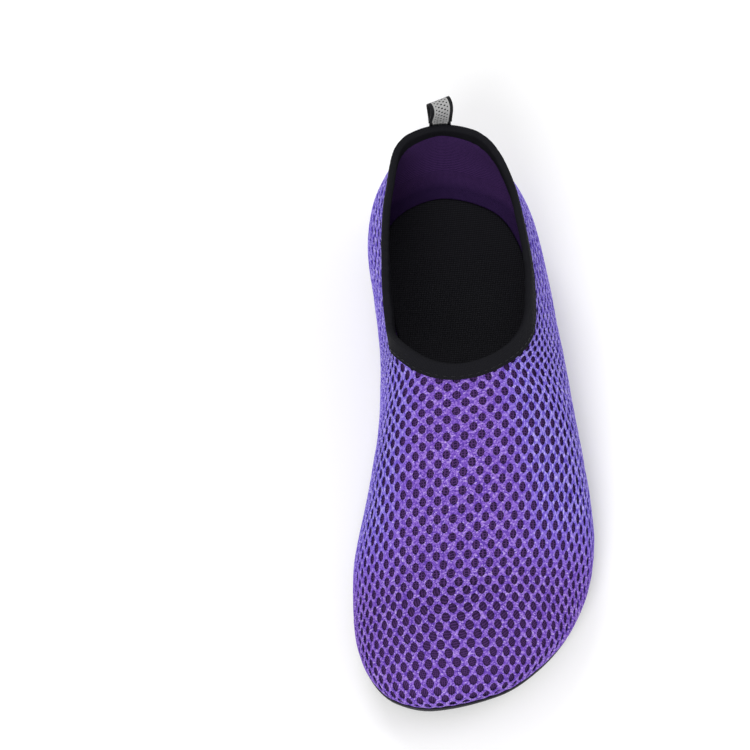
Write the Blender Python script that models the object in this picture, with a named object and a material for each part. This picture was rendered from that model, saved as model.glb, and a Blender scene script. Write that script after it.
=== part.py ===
"""Left water shoe: a slip-on mesh sock with a moulded rubber sole, elastic collar binding and heel tape.

Metres, +Z up. The toe points to -Y and the big toe lies on the -X side.
The upper is drawn on upright cuts that run round the shoe: each cut starts on the shoe's spine
line and goes out to the outline, so the cuts fan out round the toe and round the heel.
"""

import math

import bmesh
import bpy
from mathutils import Matrix, Vector

MM = 0.001

# Driving sizes of the last
shoe_length = 245.0 * MM
ball_width = 99.0 * MM
instep_height = 60.0 * MM
heel_height = 62.5 * MM
side_height = 51.0 * MM
toe_spring = 6.0 * MM
heel_lift = 1.2 * MM
arch_lift = 1.5 * MM

# Places along the shoe, as shares of its length from the toe tip
toe_centre_along = 0.185
throat_along = 0.515
heel_centre_along = 0.860
spring_along = 0.270
heel_lift_along = 0.950
arch_from_along = 0.440
arch_to_along = 0.740

# Upper: one wall of large-hole mesh with a turned-in lasting margin
wall = 1.6 * MM
lasting_margin = 7.0 * MM
throat_round = 40.0 * MM
collar_half_width = 30.0 * MM
collar_draw = 2.4 * MM
draw_near = 6.0 * MM
draw_far = 28.0 * MM

# Sole: rubber base, raised tread and a low rim that cups the upper
sole_base = 3.0 * MM
lug_height = 1.3 * MM
rim_rise = 1.8 * MM
rim_thickness = 1.2 * MM
rim_round = 7.0 * MM

# Insole
insole_thickness = 2.5 * MM

# Collar binding: folded elastic tape
binding_thickness = 0.7 * MM
binding_outside = 5.8 * MM
binding_inside = 5.0 * MM

# Heel tape with its pull loop
tape_width = 9.8 * MM
tape_thickness = 1.1 * MM
loop_height = 14.0 * MM
loop_width = 7.4 * MM
loop_lean = math.radians(4.0)
loop_twist = math.radians(24.0)

# Clearance between pieces that touch
gap = 0.3 * MM

# Tread pattern
hex_pitch = 11.7 * MM
tread_groove = 1.3 * MM
pad_ring = 2.0 * MM
pad_dish = 0.6 * MM
flex_radius = 186.0 * MM
flex_centre_x = -56.0 * MM
flex_front_along = 0.162
flex_width = 6.0 * MM
finger_width = 6.4 * MM
tread_margin = 0.8 * MM
tread_overlap = 0.5 * MM

# The widest line of the upper and the form of its cuts.
# along: share of the length. medial, lateral, apex: shares of the ball width, either side of the
# heel's centre line. bulge: height of the widest line. top_m, top_l: height where the medial and
# lateral walls would meet. tuck_m, tuck_l: how far the sole's top edge lies inside the widest line,
# all as shares of the instep height. round_m, round_l: squareness of the wall, 2 being an ellipse.
SECTION_COLUMNS = ("along", "medial", "lateral", "bulge", "top_m", "top_l",
                   "tuck_m", "tuck_l", "round_m", "round_l")
SECTIONS = (
    (0.020, -0.360, 0.072, 0.200, 0.52, 0.52, 0.14, 0.14, 2.40, 2.40),
    (0.060, -0.443, 0.232, 0.200, 0.52, 0.52, 0.14, 0.14, 2.40, 2.40),
    (0.115, -0.485, 0.362, 0.200, 0.53, 0.53, 0.15, 0.15, 2.40, 2.40),
    (0.185, -0.494, 0.452, 0.200, 0.56, 0.56, 0.15, 0.15, 2.40, 2.30),
    (0.265, -0.479, 0.500, 0.205, 0.63, 0.63, 0.16, 0.16, 2.45, 2.20),
    (0.345, -0.430, 0.506, 0.215, 0.74, 0.74, 0.17, 0.16, 2.45, 2.05),
    (0.420, -0.382, 0.494, 0.240, 0.87, 0.87, 0.21, 0.17, 2.45, 1.95),
    (0.515, -0.335, 0.474, 0.290, 1.02, 1.02, 0.29, 0.18, 2.35, 1.85),
    (0.580, -0.318, 0.460, 0.320, 1.30, 1.06, 0.31, 0.18, 2.30, 1.80),
    (0.650, -0.312, 0.446, 0.350, 1.42, 1.08, 0.30, 0.18, 2.25, 1.80),
    (0.740, -0.322, 0.430, 0.370, 1.26, 1.14, 0.22, 0.17, 2.25, 1.85),
    (0.860, -0.332, 0.393, 0.370, 1.15, 1.20, 0.16, 0.15, 2.25, 2.10),
    (0.940, -0.275, 0.314, 0.370, 1.28, 1.35, 0.15, 0.15, 2.20, 2.20),
    (0.982, -0.160, 0.180, 0.370, 1.65, 1.65, 0.15, 0.15, 2.20, 2.20),
)
TOE_APEX = -0.205
HEEL_APEX = 0.005

# Spine line in plan, and the collar's edge behind the throat: along, and its height as a share of
# the way from the sides' height to the heel's.
SPINE = ((0.185, -0.100), (0.350, -0.052), (0.515, -0.010), (0.700, 0.010), (0.860, 0.010))
COLLAR = ((0.515, 0.55), (0.560, 0.32), (0.620, 0.06), (0.680, 0.00), (0.740, 0.04), (0.860, 0.40), (1.000, 1.00))

# Round pads of the tread: along, share of the ball width from the heel's centre line, radius,
# and whether the middle is dished
PADS = (
    (0.294, -0.086, 16.5 * MM, True),
    (0.421, -0.020, 11.3 * MM, False),
    (0.355, 0.303, 9.8 * MM, True),
    (0.510, 0.095, 5.6 * MM, False),
    (0.869, 0.020, 17.0 * MM, True),
)
# Long pads under the toes: along and across at the front end, then at the back end
FINGERS = (
    (0.030, -0.155, 0.137, -0.056),
    (0.072, 0.070, 0.151, 0.093),
    (0.124, 0.226, 0.178, 0.232),
)
# Grip patch under the big toe: along and across of each corner
TOE_PATCH = ((0.040, -0.225), (0.062, -0.350), (0.120, -0.415), (0.121, -0.150), (0.108, -0.130))

# How finely the forms are cut
merge_distance = 0.005 * MM
toe_steps = 16
heel_steps = 20
upper_turns = (0.14, 0.30, 0.48, 0.66, 0.84, 1.0)
lower_turns = (1.0, 0.68, 0.36)
bend_steps = 16
STATIONS = (0.185, 0.226, 0.267, 0.308, 0.350, 0.391, 0.432, 0.474, 0.515, 0.523, 0.536, 0.555,
            0.580, 0.609, 0.640, 0.675, 0.712, 0.749, 0.786, 0.823, 0.860)


def curve_value(points, at):
    """Smooth value through (place, value) pairs: cubic, with slopes from the neighbours."""
    if at <= points[0][0]:
        return points[0][1]
    if at >= points[-1][0]:
        return points[-1][1]
    i = max(k for k in range(len(points) - 1) if points[k][0] <= at)
    (x0, y0), (x1, y1) = points[i], points[i + 1]
    before, after = points[max(i - 1, 0)], points[min(i + 2, len(points) - 1)]
    slope0 = (y1 - before[1]) / (x1 - before[0])
    slope1 = (after[1] - y0) / (after[0] - x0)
    width = x1 - x0
    t = (at - x0) / width
    return (y0 * (1 + 2 * t) * (1 - t) ** 2 + slope0 * width * t * (1 - t) ** 2
            + y1 * t * t * (3 - 2 * t) + slope1 * width * t * t * (t - 1))


def section(column, along):
    k = SECTION_COLUMNS.index(column)
    return curve_value([(row[0], row[k]) for row in SECTIONS], along)


def place(along):
    return (along - 0.5) * shoe_length


def along_of(y):
    return y / shoe_length + 0.5


def ground_lift(y):
    """How far the sole leaves the floor: toe spring, heel and arch."""
    along = along_of(y)
    toe = max(0.0, (spring_along - along) / spring_along)
    heel = max(0.0, (along - heel_lift_along) / (1.0 - heel_lift_along))
    arch = (along - arch_from_along) / (arch_to_along - arch_from_along)
    arch_wave = 0.5 - 0.5 * math.cos(2 * math.pi * min(max(arch, 0.0), 1.0))
    return toe_spring * toe ** 2 + heel_lift * heel ** 2 + arch_lift * arch_wave


def outline_points(steps=12):
    """The widest line in plan, closed: up the lateral side from the toe, down the medial side."""
    knots = [Vector((TOE_APEX * ball_width, place(0.0)))]
    knots += [Vector((row[2] * ball_width, place(row[0]))) for row in SECTIONS]
    knots += [Vector((HEEL_APEX * ball_width, place(1.0)))]
    knots += [Vector((row[1] * ball_width, place(row[0]))) for row in reversed(SECTIONS)]
    n = len(knots)
    points = []
    for i in range(n):
        a, b, c, d = (knots[(i + k - 1) % n] for k in range(4))
        length = (c - b).length
        out = (c - a) * (length / ((c - b).length + (b - a).length))
        into = (d - b) * (length / ((d - c).length + (c - b).length))
        for k in range(steps):
            t = k / steps
            points.append(b * ((1 + 2 * t) * (1 - t) ** 2) + out * (t * (1 - t) ** 2)
                          + c * (t * t * (3 - 2 * t)) + into * (t * t * (t - 1)))
    return points


OUTLINE = outline_points()


def reach(origin, direction):
    """Distance from a point of the spine to the outline in a plan direction."""
    best = 0.0
    for i, a in enumerate(OUTLINE):
        b = OUTLINE[(i + 1) % len(OUTLINE)]
        edge = b - a
        cross = direction.x * edge.y - direction.y * edge.x
        if abs(cross) < 1e-15:
            continue
        to_a = a - origin
        far = (to_a.x * edge.y - to_a.y * edge.x) / cross
        share = (to_a.x * direction.y - to_a.y * direction.x) / cross
        if far > 0 and -1e-6 <= share <= 1 + 1e-6:
            best = max(best, far)
    return best


# The way round the shoe, counted in steps: the toe fan from medial to lateral, the lateral
# side, the heel fan and the medial side back to the toe.
side_steps = len(STATIONS) - 1
LATERAL_FROM = toe_steps
HEEL_FROM = LATERAL_FROM + side_steps
MEDIAL_FROM = HEEL_FROM + heel_steps
ROUND = MEDIAL_FROM + side_steps
HEEL_BACK = HEEL_FROM + heel_steps / 2


def eased(low, high, value):
    """0 up to low, 1 from high, and a smooth way between."""
    share = min(max((value - low) / (high - low), 0.0), 1.0)
    return share * share * (3 - 2 * share)


class Cut:
    """One upright cut of the last, at a place on the way round."""

    def __init__(self, step):
        step = step % ROUND
        if step < LATERAL_FROM:
            start, end, angle = toe_centre_along, 0.0, math.pi * (1 + step / toe_steps)
        elif step <= HEEL_FROM:
            start = end = self.station(step - LATERAL_FROM)
            angle = 0.0
        elif step < MEDIAL_FROM:
            start, end, angle = heel_centre_along, 1.0, math.pi * (step - HEEL_FROM) / heel_steps
        else:
            start = end = self.station(ROUND - step)
            angle = math.pi
        self.direction = Vector((math.cos(angle), math.sin(angle)))
        self.origin = Vector((curve_value(SPINE, start) * ball_width, place(start)))
        self.radius = reach(self.origin, self.direction)
        self.along = start + (end - start) * abs(math.sin(angle))
        lateral = 0.5 + 0.5 * math.cos(angle)
        self.round = self.blend("round_m", "round_l", lateral)
        if start > throat_along:
            self.top = self.blend("top_m", "top_l", lateral) * instep_height
        else:
            self.top = (section("top_m", start) + section("top_l", start)) / 2 * instep_height
        self.tuck = self.blend("tuck_m", "tuck_l", lateral) * instep_height
        self.bulge = section("bulge", self.along) * instep_height
        self.floor = lug_height + sole_base + gap
        self.collar = side_height + (heel_height - side_height) * curve_value(COLLAR, self.along)
        self.draw = collar_draw * eased(throat_along, throat_along + 0.1, start) * abs(math.cos(angle))

    @staticmethod
    def station(position):
        i = min(int(position), side_steps - 1)
        share = position - i
        return STATIONS[i] * (1 - share) + STATIONS[i + 1] * share

    def blend(self, medial, lateral, share):
        return section(medial, self.along) * (1 - share) + section(lateral, self.along) * share

    def at(self, distance, height, lift_share=1.0):
        x, y = self.origin + self.direction * distance
        return Vector((x, y, height + ground_lift(y) * lift_share))

    def above(self, turn, offset):
        """Wall above the widest line. turn 0 is that line and 1 is the spine."""
        angle = turn * math.pi / 2
        rise = max(math.sin(angle), 0.0)
        inward = max(math.cos(angle), 0.0) ** (2.0 / self.round) if turn < 1 else 0.0
        height = self.bulge + (self.top - self.bulge + offset) * rise
        under = self.collar - self.bulge - (self.top - self.bulge) * rise
        draw = self.draw * eased(0.0, draw_near, under) * (1 - eased(draw_near, draw_far, under))
        return self.at((self.radius + offset) * inward - draw, height, 1.0 - rise)

    def below(self, turn, offset, flat=False):
        """Wall under the widest line. turn 1 is the feather edge, where the floor begins."""
        angle = turn * math.pi / 2
        distance = self.radius - self.tuck + (self.tuck + offset) * math.cos(angle)
        height = self.bulge - (self.bulge - self.floor + offset) * math.sin(angle)
        return self.at(distance, height, 0.0 if flat else 1.0)

    def surface(self, turn, offset):
        return self.above(turn, offset) if turn >= 0 else self.below(-turn, offset)

    def on_facets(self, height, offset):
        """Point under the widest line at a height over the floor, on the wall's own flat facets."""
        points = [self.below(turn, offset, True) for turn in lower_turns + (0.0,)]
        i = next((k for k in range(1, len(points)) if points[k].z >= self.floor + height), len(points) - 1)
        share = (self.floor + height - points[i - 1].z) / (points[i].z - points[i - 1].z)
        return points[i - 1].lerp(points[i], min(share, 1.0))

    def below_turn(self, height, offset):
        """The turn under the widest line at which the face stands at a height over the floor."""
        fall = (self.bulge - self.floor - height) / (self.bulge - self.floor + offset)
        return math.asin(min(max(fall, 0.0), 1.0)) * 2 / math.pi


CUTS = [Cut(step) for step in range(ROUND)]
throat_station = min(range(len(STATIONS)), key=lambda k: abs(STATIONS[k] - throat_along))
THROAT_LATERAL = LATERAL_FROM + throat_station
THROAT_MEDIAL = ROUND - throat_station


def collar_turn(step):
    """Where the collar's edge crosses a cut: 1 in front of the throat.

    The round front of the collar follows its outline in plan, and its sides and heel a height.
    """
    if not THROAT_LATERAL < step < THROAT_MEDIAL:
        return 1.0
    cut = Cut(step)
    rise = (cut.collar - cut.bulge) / (cut.top - cut.bulge)
    side = math.asin(min(max(rise, 0.05), 0.98)) * 2 / math.pi
    behind = min((place(cut.along) - place(throat_along)) / throat_round, 1.0)
    half_width = collar_half_width * math.sqrt(1.0 - (1.0 - behind) ** 2)
    front = math.acos(min(half_width / cut.radius, 1.0) ** (cut.round / 2)) * 2 / math.pi
    return front + (side - front) * behind


def object_from(name, bm):
    """Puts a bmesh on a new object, with its doubles merged and its faces turned outwards."""
    bmesh.ops.remove_doubles(bm, verts=bm.verts, dist=merge_distance)
    bmesh.ops.triangulate(bm, faces=bm.faces)
    bmesh.ops.recalc_face_normals(bm, faces=bm.faces)
    mesh = bpy.data.meshes.new(name)
    bm.to_mesh(mesh)
    bm.free()
    obj = bpy.data.objects.new(name, mesh)
    bpy.context.scene.collection.objects.link(obj)
    return obj


def tool_from(name, bm):
    """A hidden object for cutting, or for joining to a piece."""
    obj = object_from(name, bm)
    obj.hide_render = True
    obj.display_type = "WIRE"
    return obj


def bmesh_of(obj):
    """The object's mesh as a bmesh. The object is removed."""
    bm = bmesh.new()
    bm.from_mesh(obj.data)
    bpy.data.objects.remove(obj)
    return bm


def combined(target, operation, tool):
    """Applies a Boolean of the tool to the target and removes the tool."""
    modifier = target.modifiers.new(operation, "BOOLEAN")
    modifier.operation = operation
    modifier.solver = "EXACT"
    modifier.object = tool
    bpy.context.view_layer.update()
    graph = bpy.context.evaluated_depsgraph_get()
    result = bpy.data.meshes.new_from_object(target.evaluated_get(graph))
    target.modifiers.clear()
    bm = bmesh.new()
    bm.from_mesh(result)
    bmesh.ops.remove_doubles(bm, verts=bm.verts, dist=merge_distance)
    bm.to_mesh(result)
    bm.free()
    target.data = result
    bpy.data.objects.remove(tool)


def piece(name, bm, colour, roughness, metallic=0.0):
    """A finished piece: its mesh, shading and material."""
    obj = object_from(name, bm)
    obj.data.shade_smooth()
    obj.data.set_sharp_from_angle(angle=math.radians(35))
    material = bpy.data.materials.new(name)
    material.use_nodes = True
    shader = material.node_tree.nodes["Principled BSDF"]
    shader.inputs["Base Color"].default_value = (*colour, 1.0)
    shader.inputs["Roughness"].default_value = roughness
    shader.inputs["Metallic"].default_value = metallic
    obj.data.materials.clear()
    obj.data.materials.append(material)
    return obj


def add_strip(bm, row_a, row_b):
    """Faces between two rows of vertices, as far as the shorter one reaches."""
    for k in range(min(len(row_a), len(row_b)) - 1):
        bm.faces.new((row_a[k], row_b[k], row_b[k + 1], row_a[k + 1]))


def add_tube(bm, rings):
    """Faces between closed rings of vertices, one after another."""
    for ring, following in zip(rings, rings[1:]):
        for k in range(len(ring)):
            bm.faces.new((ring[k - 1], ring[k], following[k], following[k - 1]))


def down_the_wall(step):
    """Direction in the wall, square to the collar's edge and away from it."""
    if step in (THROAT_LATERAL, THROAT_MEDIAL):
        return (Cut(THROAT_LATERAL - 0.1).above(1.0, 0.0) - Cut(THROAT_LATERAL).above(1.0, 0.0)).normalized()
    cut, turn = Cut(step), collar_turn(step)
    edge = Cut(step + 1).surface(collar_turn(step + 1), 0.0) - Cut(step - 1).surface(collar_turn(step - 1), 0.0)
    fall = cut.surface(turn - 0.02, 0.0) - cut.surface(turn, 0.0)
    return (fall - edge * (fall.dot(edge) / edge.dot(edge))).normalized()


def add_shell(bm, outside, inside, lower_rows, upper_rows, edge_rise=0.0):
    """Closed wall round the whole shoe between two faces, each a distance outside the last.

    lower_rows gives a cut's points under the widest line for an offset, upper_rows the shares of
    the way up to the collar, and edge_rise how far the wall goes on past the collar's edge.
    """
    faces = {outside: [], inside: []}
    for step, cut in enumerate(CUTS):
        edge = collar_turn(step)
        open_cut = THROAT_LATERAL <= step <= THROAT_MEDIAL
        for offset, rows in faces.items():
            points = lower_rows(cut, offset) + [cut.above(edge * turn, offset) for turn in upper_rows]
            if open_cut and edge_rise:
                points.append(points[-1] - down_the_wall(step) * edge_rise)
            rows.append([bm.verts.new(point) for point in points])
    outer, inner = faces[outside], faces[inside]
    for step in range(ROUND):
        following = (step + 1) % ROUND
        add_strip(bm, outer[step], outer[following])
        add_strip(bm, inner[following], inner[step])
        bm.faces.new((outer[step][0], outer[following][0], inner[following][0], inner[step][0]))
        if THROAT_LATERAL <= step < THROAT_MEDIAL:
            bm.faces.new((outer[following][-1], outer[step][-1], inner[step][-1], inner[following][-1]))


def build_upper():
    """The sock: outer and inner face of one wall, open at the collar and under the foot."""

    def lower_rows(cut, offset):
        margin = cut.at(cut.radius - cut.tuck - lasting_margin, cut.floor - offset)
        return [margin] + [cut.below(turn, offset) for turn in lower_turns]

    bm = bmesh.new()
    add_shell(bm, 0.0, -wall, lower_rows, (0.0,) + upper_turns)
    return piece("upper", bm, (0.20, 0.11, 0.62), 0.75)


def bend_to_ground(bm):
    """Cuts a flat sole layer across at close stations, then lifts it to the toe spring and arch."""
    for k in range(1, bend_steps):
        if max(ground_lift(place((k + side) / bend_steps)) for side in (-1, 0, 1)) > 0:
            geometry = bm.verts[:] + bm.edges[:] + bm.faces[:]
            spot = (0.0, place(k / bend_steps), 0.0)
            bmesh.ops.bisect_plane(bm, geom=geometry, dist=merge_distance, plane_co=spot, plane_no=(0, 1, 0))
    bmesh.ops.triangulate(bm, faces=bm.faces)
    for vert in bm.verts:
        vert.co.z += ground_lift(vert.co.y)


def layer_solid(bm, profile):
    """Closed flat layer whose side follows profile(cut), a row of points from top to bottom."""
    rows = [[bm.verts.new(point) for point in profile(cut)] for cut in CUTS]
    for step in range(ROUND):
        add_strip(bm, rows[step], rows[(step + 1) % ROUND])
    bm.faces.new([row[0] for row in rows])
    bm.faces.new([row[-1] for row in reversed(rows)])


def build_insole():
    """Foam insole: its lower step fills the ring of the lasting margin, its top reaches the wall."""
    step_height = wall + gap
    offset = -(wall + gap)

    def profile(cut):
        inner = cut.radius - cut.tuck - lasting_margin - gap
        side = [cut.on_facets(step_height + insole_thickness * share, offset) for share in (1.0, 0.0)]
        return side + [cut.at(inner, cut.floor + step_height, 0.0), cut.at(inner, cut.floor, 0.0)]

    bm = bmesh.new()
    layer_solid(bm, profile)
    bend_to_ground(bm)
    return piece("insole", bm, (0.03, 0.03, 0.035), 0.85)


def sole_edge(cut):
    """Reach and height of the rim's outer edge on a cut."""
    rim = cut.below(cut.below_turn(rim_rise, gap), gap, True)
    distance = (rim.xy - cut.origin).length + rim_thickness
    return distance, rim.z


def sole_base_profile(cut):
    """Half section of the rubber: cupped top, rim, round side and flat underside."""
    rim_turn = cut.below_turn(rim_rise, gap)
    top = [cut.below(1.0 + (rim_turn - 1.0) * share, gap, True) for share in (0.0, 0.5, 1.0)]
    edge, height = sole_edge(cut)
    side = []
    for angle in (0.0, 30.0, 60.0, 90.0):
        turn = math.radians(angle)
        side.append(cut.at(edge - rim_round * (1 - math.cos(turn)),
                           height - rim_thickness / 2 - (height - rim_thickness / 2 - lug_height) * math.sin(turn), 0.0))
    return top + side


def prism(name, outline, low, high):
    """Upright solid over a closed plan outline."""
    bm = bmesh.new()
    bottom = [bm.verts.new((x, y, low)) for x, y in outline]
    face = bm.faces.new(bottom)
    moved = bmesh.ops.extrude_face_region(bm, geom=[face])["geom"]
    bmesh.ops.translate(bm, vec=(0, 0, high - low), verts=[v for v in moved if isinstance(v, bmesh.types.BMVert)])
    bmesh.ops.recalc_face_normals(bm, faces=bm.faces)
    mesh = bpy.data.meshes.new(name)
    bm.to_mesh(mesh)
    bm.free()
    return mesh


def circle(centre, radius, sides):
    return [(centre[0] + radius * math.cos(2 * math.pi * k / sides),
             centre[1] + radius * math.sin(2 * math.pi * k / sides)) for k in range(sides)]


def stadium(front, back, width, steps=5):
    """Long outline with round ends between two points."""
    axis = (Vector(back) - Vector(front)).normalized()
    across = Vector((-axis.y, axis.x))
    points = []
    for centre, sign in ((Vector(back), 1), (Vector(front), -1)):
        for k in range(steps + 1):
            turn = -math.pi / 2 + math.pi * k / steps
            spot = centre + sign * (axis * math.cos(turn) + across * math.sin(turn)) * width / 2
            points.append((spot.x, spot.y))
    return points


def joined(name, meshes):
    """One hidden tool object that holds several separate meshes."""
    bm = bmesh.new()
    for mesh in meshes:
        bm.from_mesh(mesh)
        bpy.data.meshes.remove(mesh)
    return tool_from(name, bm)


def plan(along, across):
    return (across * ball_width, place(along))


def flex_arc(radius):
    """Points of the curved flex groove across the forefoot, from medial to lateral."""
    centre = Vector((flex_centre_x, place(flex_front_along) + flex_radius))
    reach_x = 0.75 * ball_width
    points = []
    for k in range(13):
        x = -reach_x + 2 * reach_x * k / 12
        points.append((x, centre.y - math.sqrt(radius ** 2 - (x - centre.x) ** 2)))
    return points


def tread_field():
    """Plan outline of the tread, inside the round of the sole's side."""
    points = []
    for cut in CUTS:
        spot = cut.origin + cut.direction * (sole_edge(cut)[0] - rim_round - tread_margin)
        points.append((spot.x, spot.y))
    return points


def hexagons():
    """Grip hexagons in rows along the shoe, over the whole plan."""
    radius = (hex_pitch - tread_groove) / math.sqrt(3)
    row_pitch = hex_pitch * math.sqrt(3) / 2
    rows = int(ball_width / row_pitch / 2) + 1
    count = int(shoe_length / hex_pitch / 2) + 1
    for row in range(-rows, rows + 1):
        for k in range(-count, count + 1):
            centre = (row * row_pitch, (k + 0.5 * (row % 2)) * hex_pitch)
            yield [(centre[0] + radius * math.cos(math.pi * j / 3), centre[1] + radius * math.sin(math.pi * j / 3))
                   for j in range(6)]


def build_outsole():
    """Rubber sole: cupped base, hexagon tread, round pads, flex groove and pads under the toes."""
    low, root = 0.0, lug_height + tread_overlap
    cut_low, cut_high = -tread_overlap, lug_height * 2 + tread_overlap
    far = shoe_length

    bm = bmesh.new()
    layer_solid(bm, sole_base_profile)
    base = object_from("outsole_base", bm)

    pads = [(plan(along, across), radius, dished) for along, across, radius, dished in PADS]
    lugs = joined("lugs", [prism("hexagon", points, low, root) for points in hexagons()])
    front_edge = flex_arc(flex_radius)
    back_edge = flex_arc(flex_radius - flex_width)
    behind = back_edge + [(back_edge[-1][0], far), (back_edge[0][0], far)]
    combined(lugs, "INTERSECT", joined("behind_groove", [prism("behind", behind, cut_low, cut_high)]))
    combined(lugs, "INTERSECT", joined("field", [prism("field", tread_field(), cut_low, cut_high)]))
    room = [prism("pad_room", circle(spot, radius + tread_groove, 24), cut_low, cut_high) for spot, radius, _ in pads]
    combined(lugs, "DIFFERENCE", joined("pad_rooms", room))

    discs = joined("discs", [prism("disc", circle(spot, radius, 24), low, root) for spot, radius, _ in pads])
    dishes = [prism("dish", circle(spot, radius - pad_ring, 20), cut_low, pad_dish) for spot, radius, dish in pads if dish]
    combined(discs, "DIFFERENCE", joined("dishes", dishes))

    toe = joined("toe_plate", [prism("toe", tread_field(), low, root)])
    ahead = front_edge + [(front_edge[-1][0], -far), (front_edge[0][0], -far)]
    combined(toe, "INTERSECT", joined("ahead_of_groove", [prism("ahead", ahead, cut_low, cut_high)]))
    grooves, cores = [], []
    for a_front, x_front, a_back, x_back in FINGERS:
        ends = plan(a_front, x_front), plan(a_back, x_back)
        grooves.append(prism("finger_room", stadium(*ends, finger_width + 2 * tread_groove), cut_low, cut_high))
        cores.append(prism("finger", stadium(*ends, finger_width), low, root))
    patch = [Vector(plan(along, across)) for along, across in TOE_PATCH]
    middle = sum(patch, Vector((0, 0))) / len(patch)
    wider = [tuple(middle + (spot - middle) * (1 + tread_groove / (spot - middle).length)) for spot in patch]
    grooves.append(prism("patch_room", wider, cut_low, cut_high))
    cores.append(prism("patch", [tuple(spot) for spot in patch], low, root))
    combined(toe, "DIFFERENCE", joined("toe_grooves", grooves))
    islands = joined("toe_islands", cores)
    combined(islands, "INTERSECT", joined("toe_field", [prism("field", tread_field(), cut_low, cut_high)]))

    for part in (lugs, discs, toe, islands):
        combined(base, "UNION", part)
    bm = bmesh_of(base)
    bmesh.ops.dissolve_limit(bm, angle_limit=math.radians(0.5), verts=bm.verts, edges=bm.edges)
    bend_to_ground(bm)
    return piece("outsole", bm, (0.014, 0.014, 0.018), 0.48)


def build_binding():
    """Elastic tape folded over the collar's edge: a thick band less the wall it wraps."""
    far = gap + binding_thickness

    def no_lower_rows(cut, offset):
        return []

    bm = bmesh.new()
    rings = []
    for step in list(range(THROAT_LATERAL, THROAT_MEDIAL)) + [THROAT_LATERAL]:
        cut, down = Cut(step), down_the_wall(step)
        top = [cut.surface(collar_turn(step), offset) for offset in (far, -wall - far)]
        middle = (top[0] + top[1]) / 2 - down * far
        outside = [wall_point(step, distance, far) for distance in (binding_outside, 0.0)]
        inside = [wall_point(step, distance, -wall - far) for distance in (0.0, binding_inside)]
        rings.append([bm.verts.new(point) for point in outside + [middle] + inside])
    add_tube(bm, rings)
    band = object_from("band", bm)
    bm = bmesh.new()
    add_shell(bm, gap, -wall - gap, no_lower_rows, upper_turns[1:], gap)
    combined(band, "DIFFERENCE", tool_from("wrapped_wall", bm))
    return piece("collar_binding", bmesh_of(band), (0.012, 0.012, 0.014), 0.7)


def wall_point(step, distance, offset):
    """The wall's point that lies a distance below the collar's edge."""
    start = Cut(step).surface(collar_turn(step), 0.0)
    down = down_the_wall(step)
    place_step, turn = float(step), collar_turn(step)
    if step in (THROAT_LATERAL, THROAT_MEDIAL):
        per_step = (Cut(THROAT_LATERAL - 0.1).above(1.0, 0.0) - Cut(THROAT_LATERAL).above(1.0, 0.0)).length / 0.1
        return Cut(THROAT_LATERAL - distance / per_step).surface(1.0, offset)
    if distance == 0:
        return Cut(step).surface(turn, offset)
    small = 0.02
    for _ in range(3):
        here = Cut(place_step).surface(turn, 0.0)
        by_step = (Cut(place_step + small).surface(turn, 0.0) - here) / small
        by_turn = (here - Cut(place_step).surface(turn - small, 0.0)) / small
        missing = start + down * distance - here
        a, b, c = by_step.dot(by_step), by_step.dot(by_turn), by_turn.dot(by_turn)
        p, q = by_step.dot(missing), by_turn.dot(missing)
        det = a * c - b * b
        place_step += (c * p - b * q) / det
        turn = min(turn + (a * q - b * p) / det, 1.0)
    return Cut(place_step).surface(turn, offset)


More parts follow.
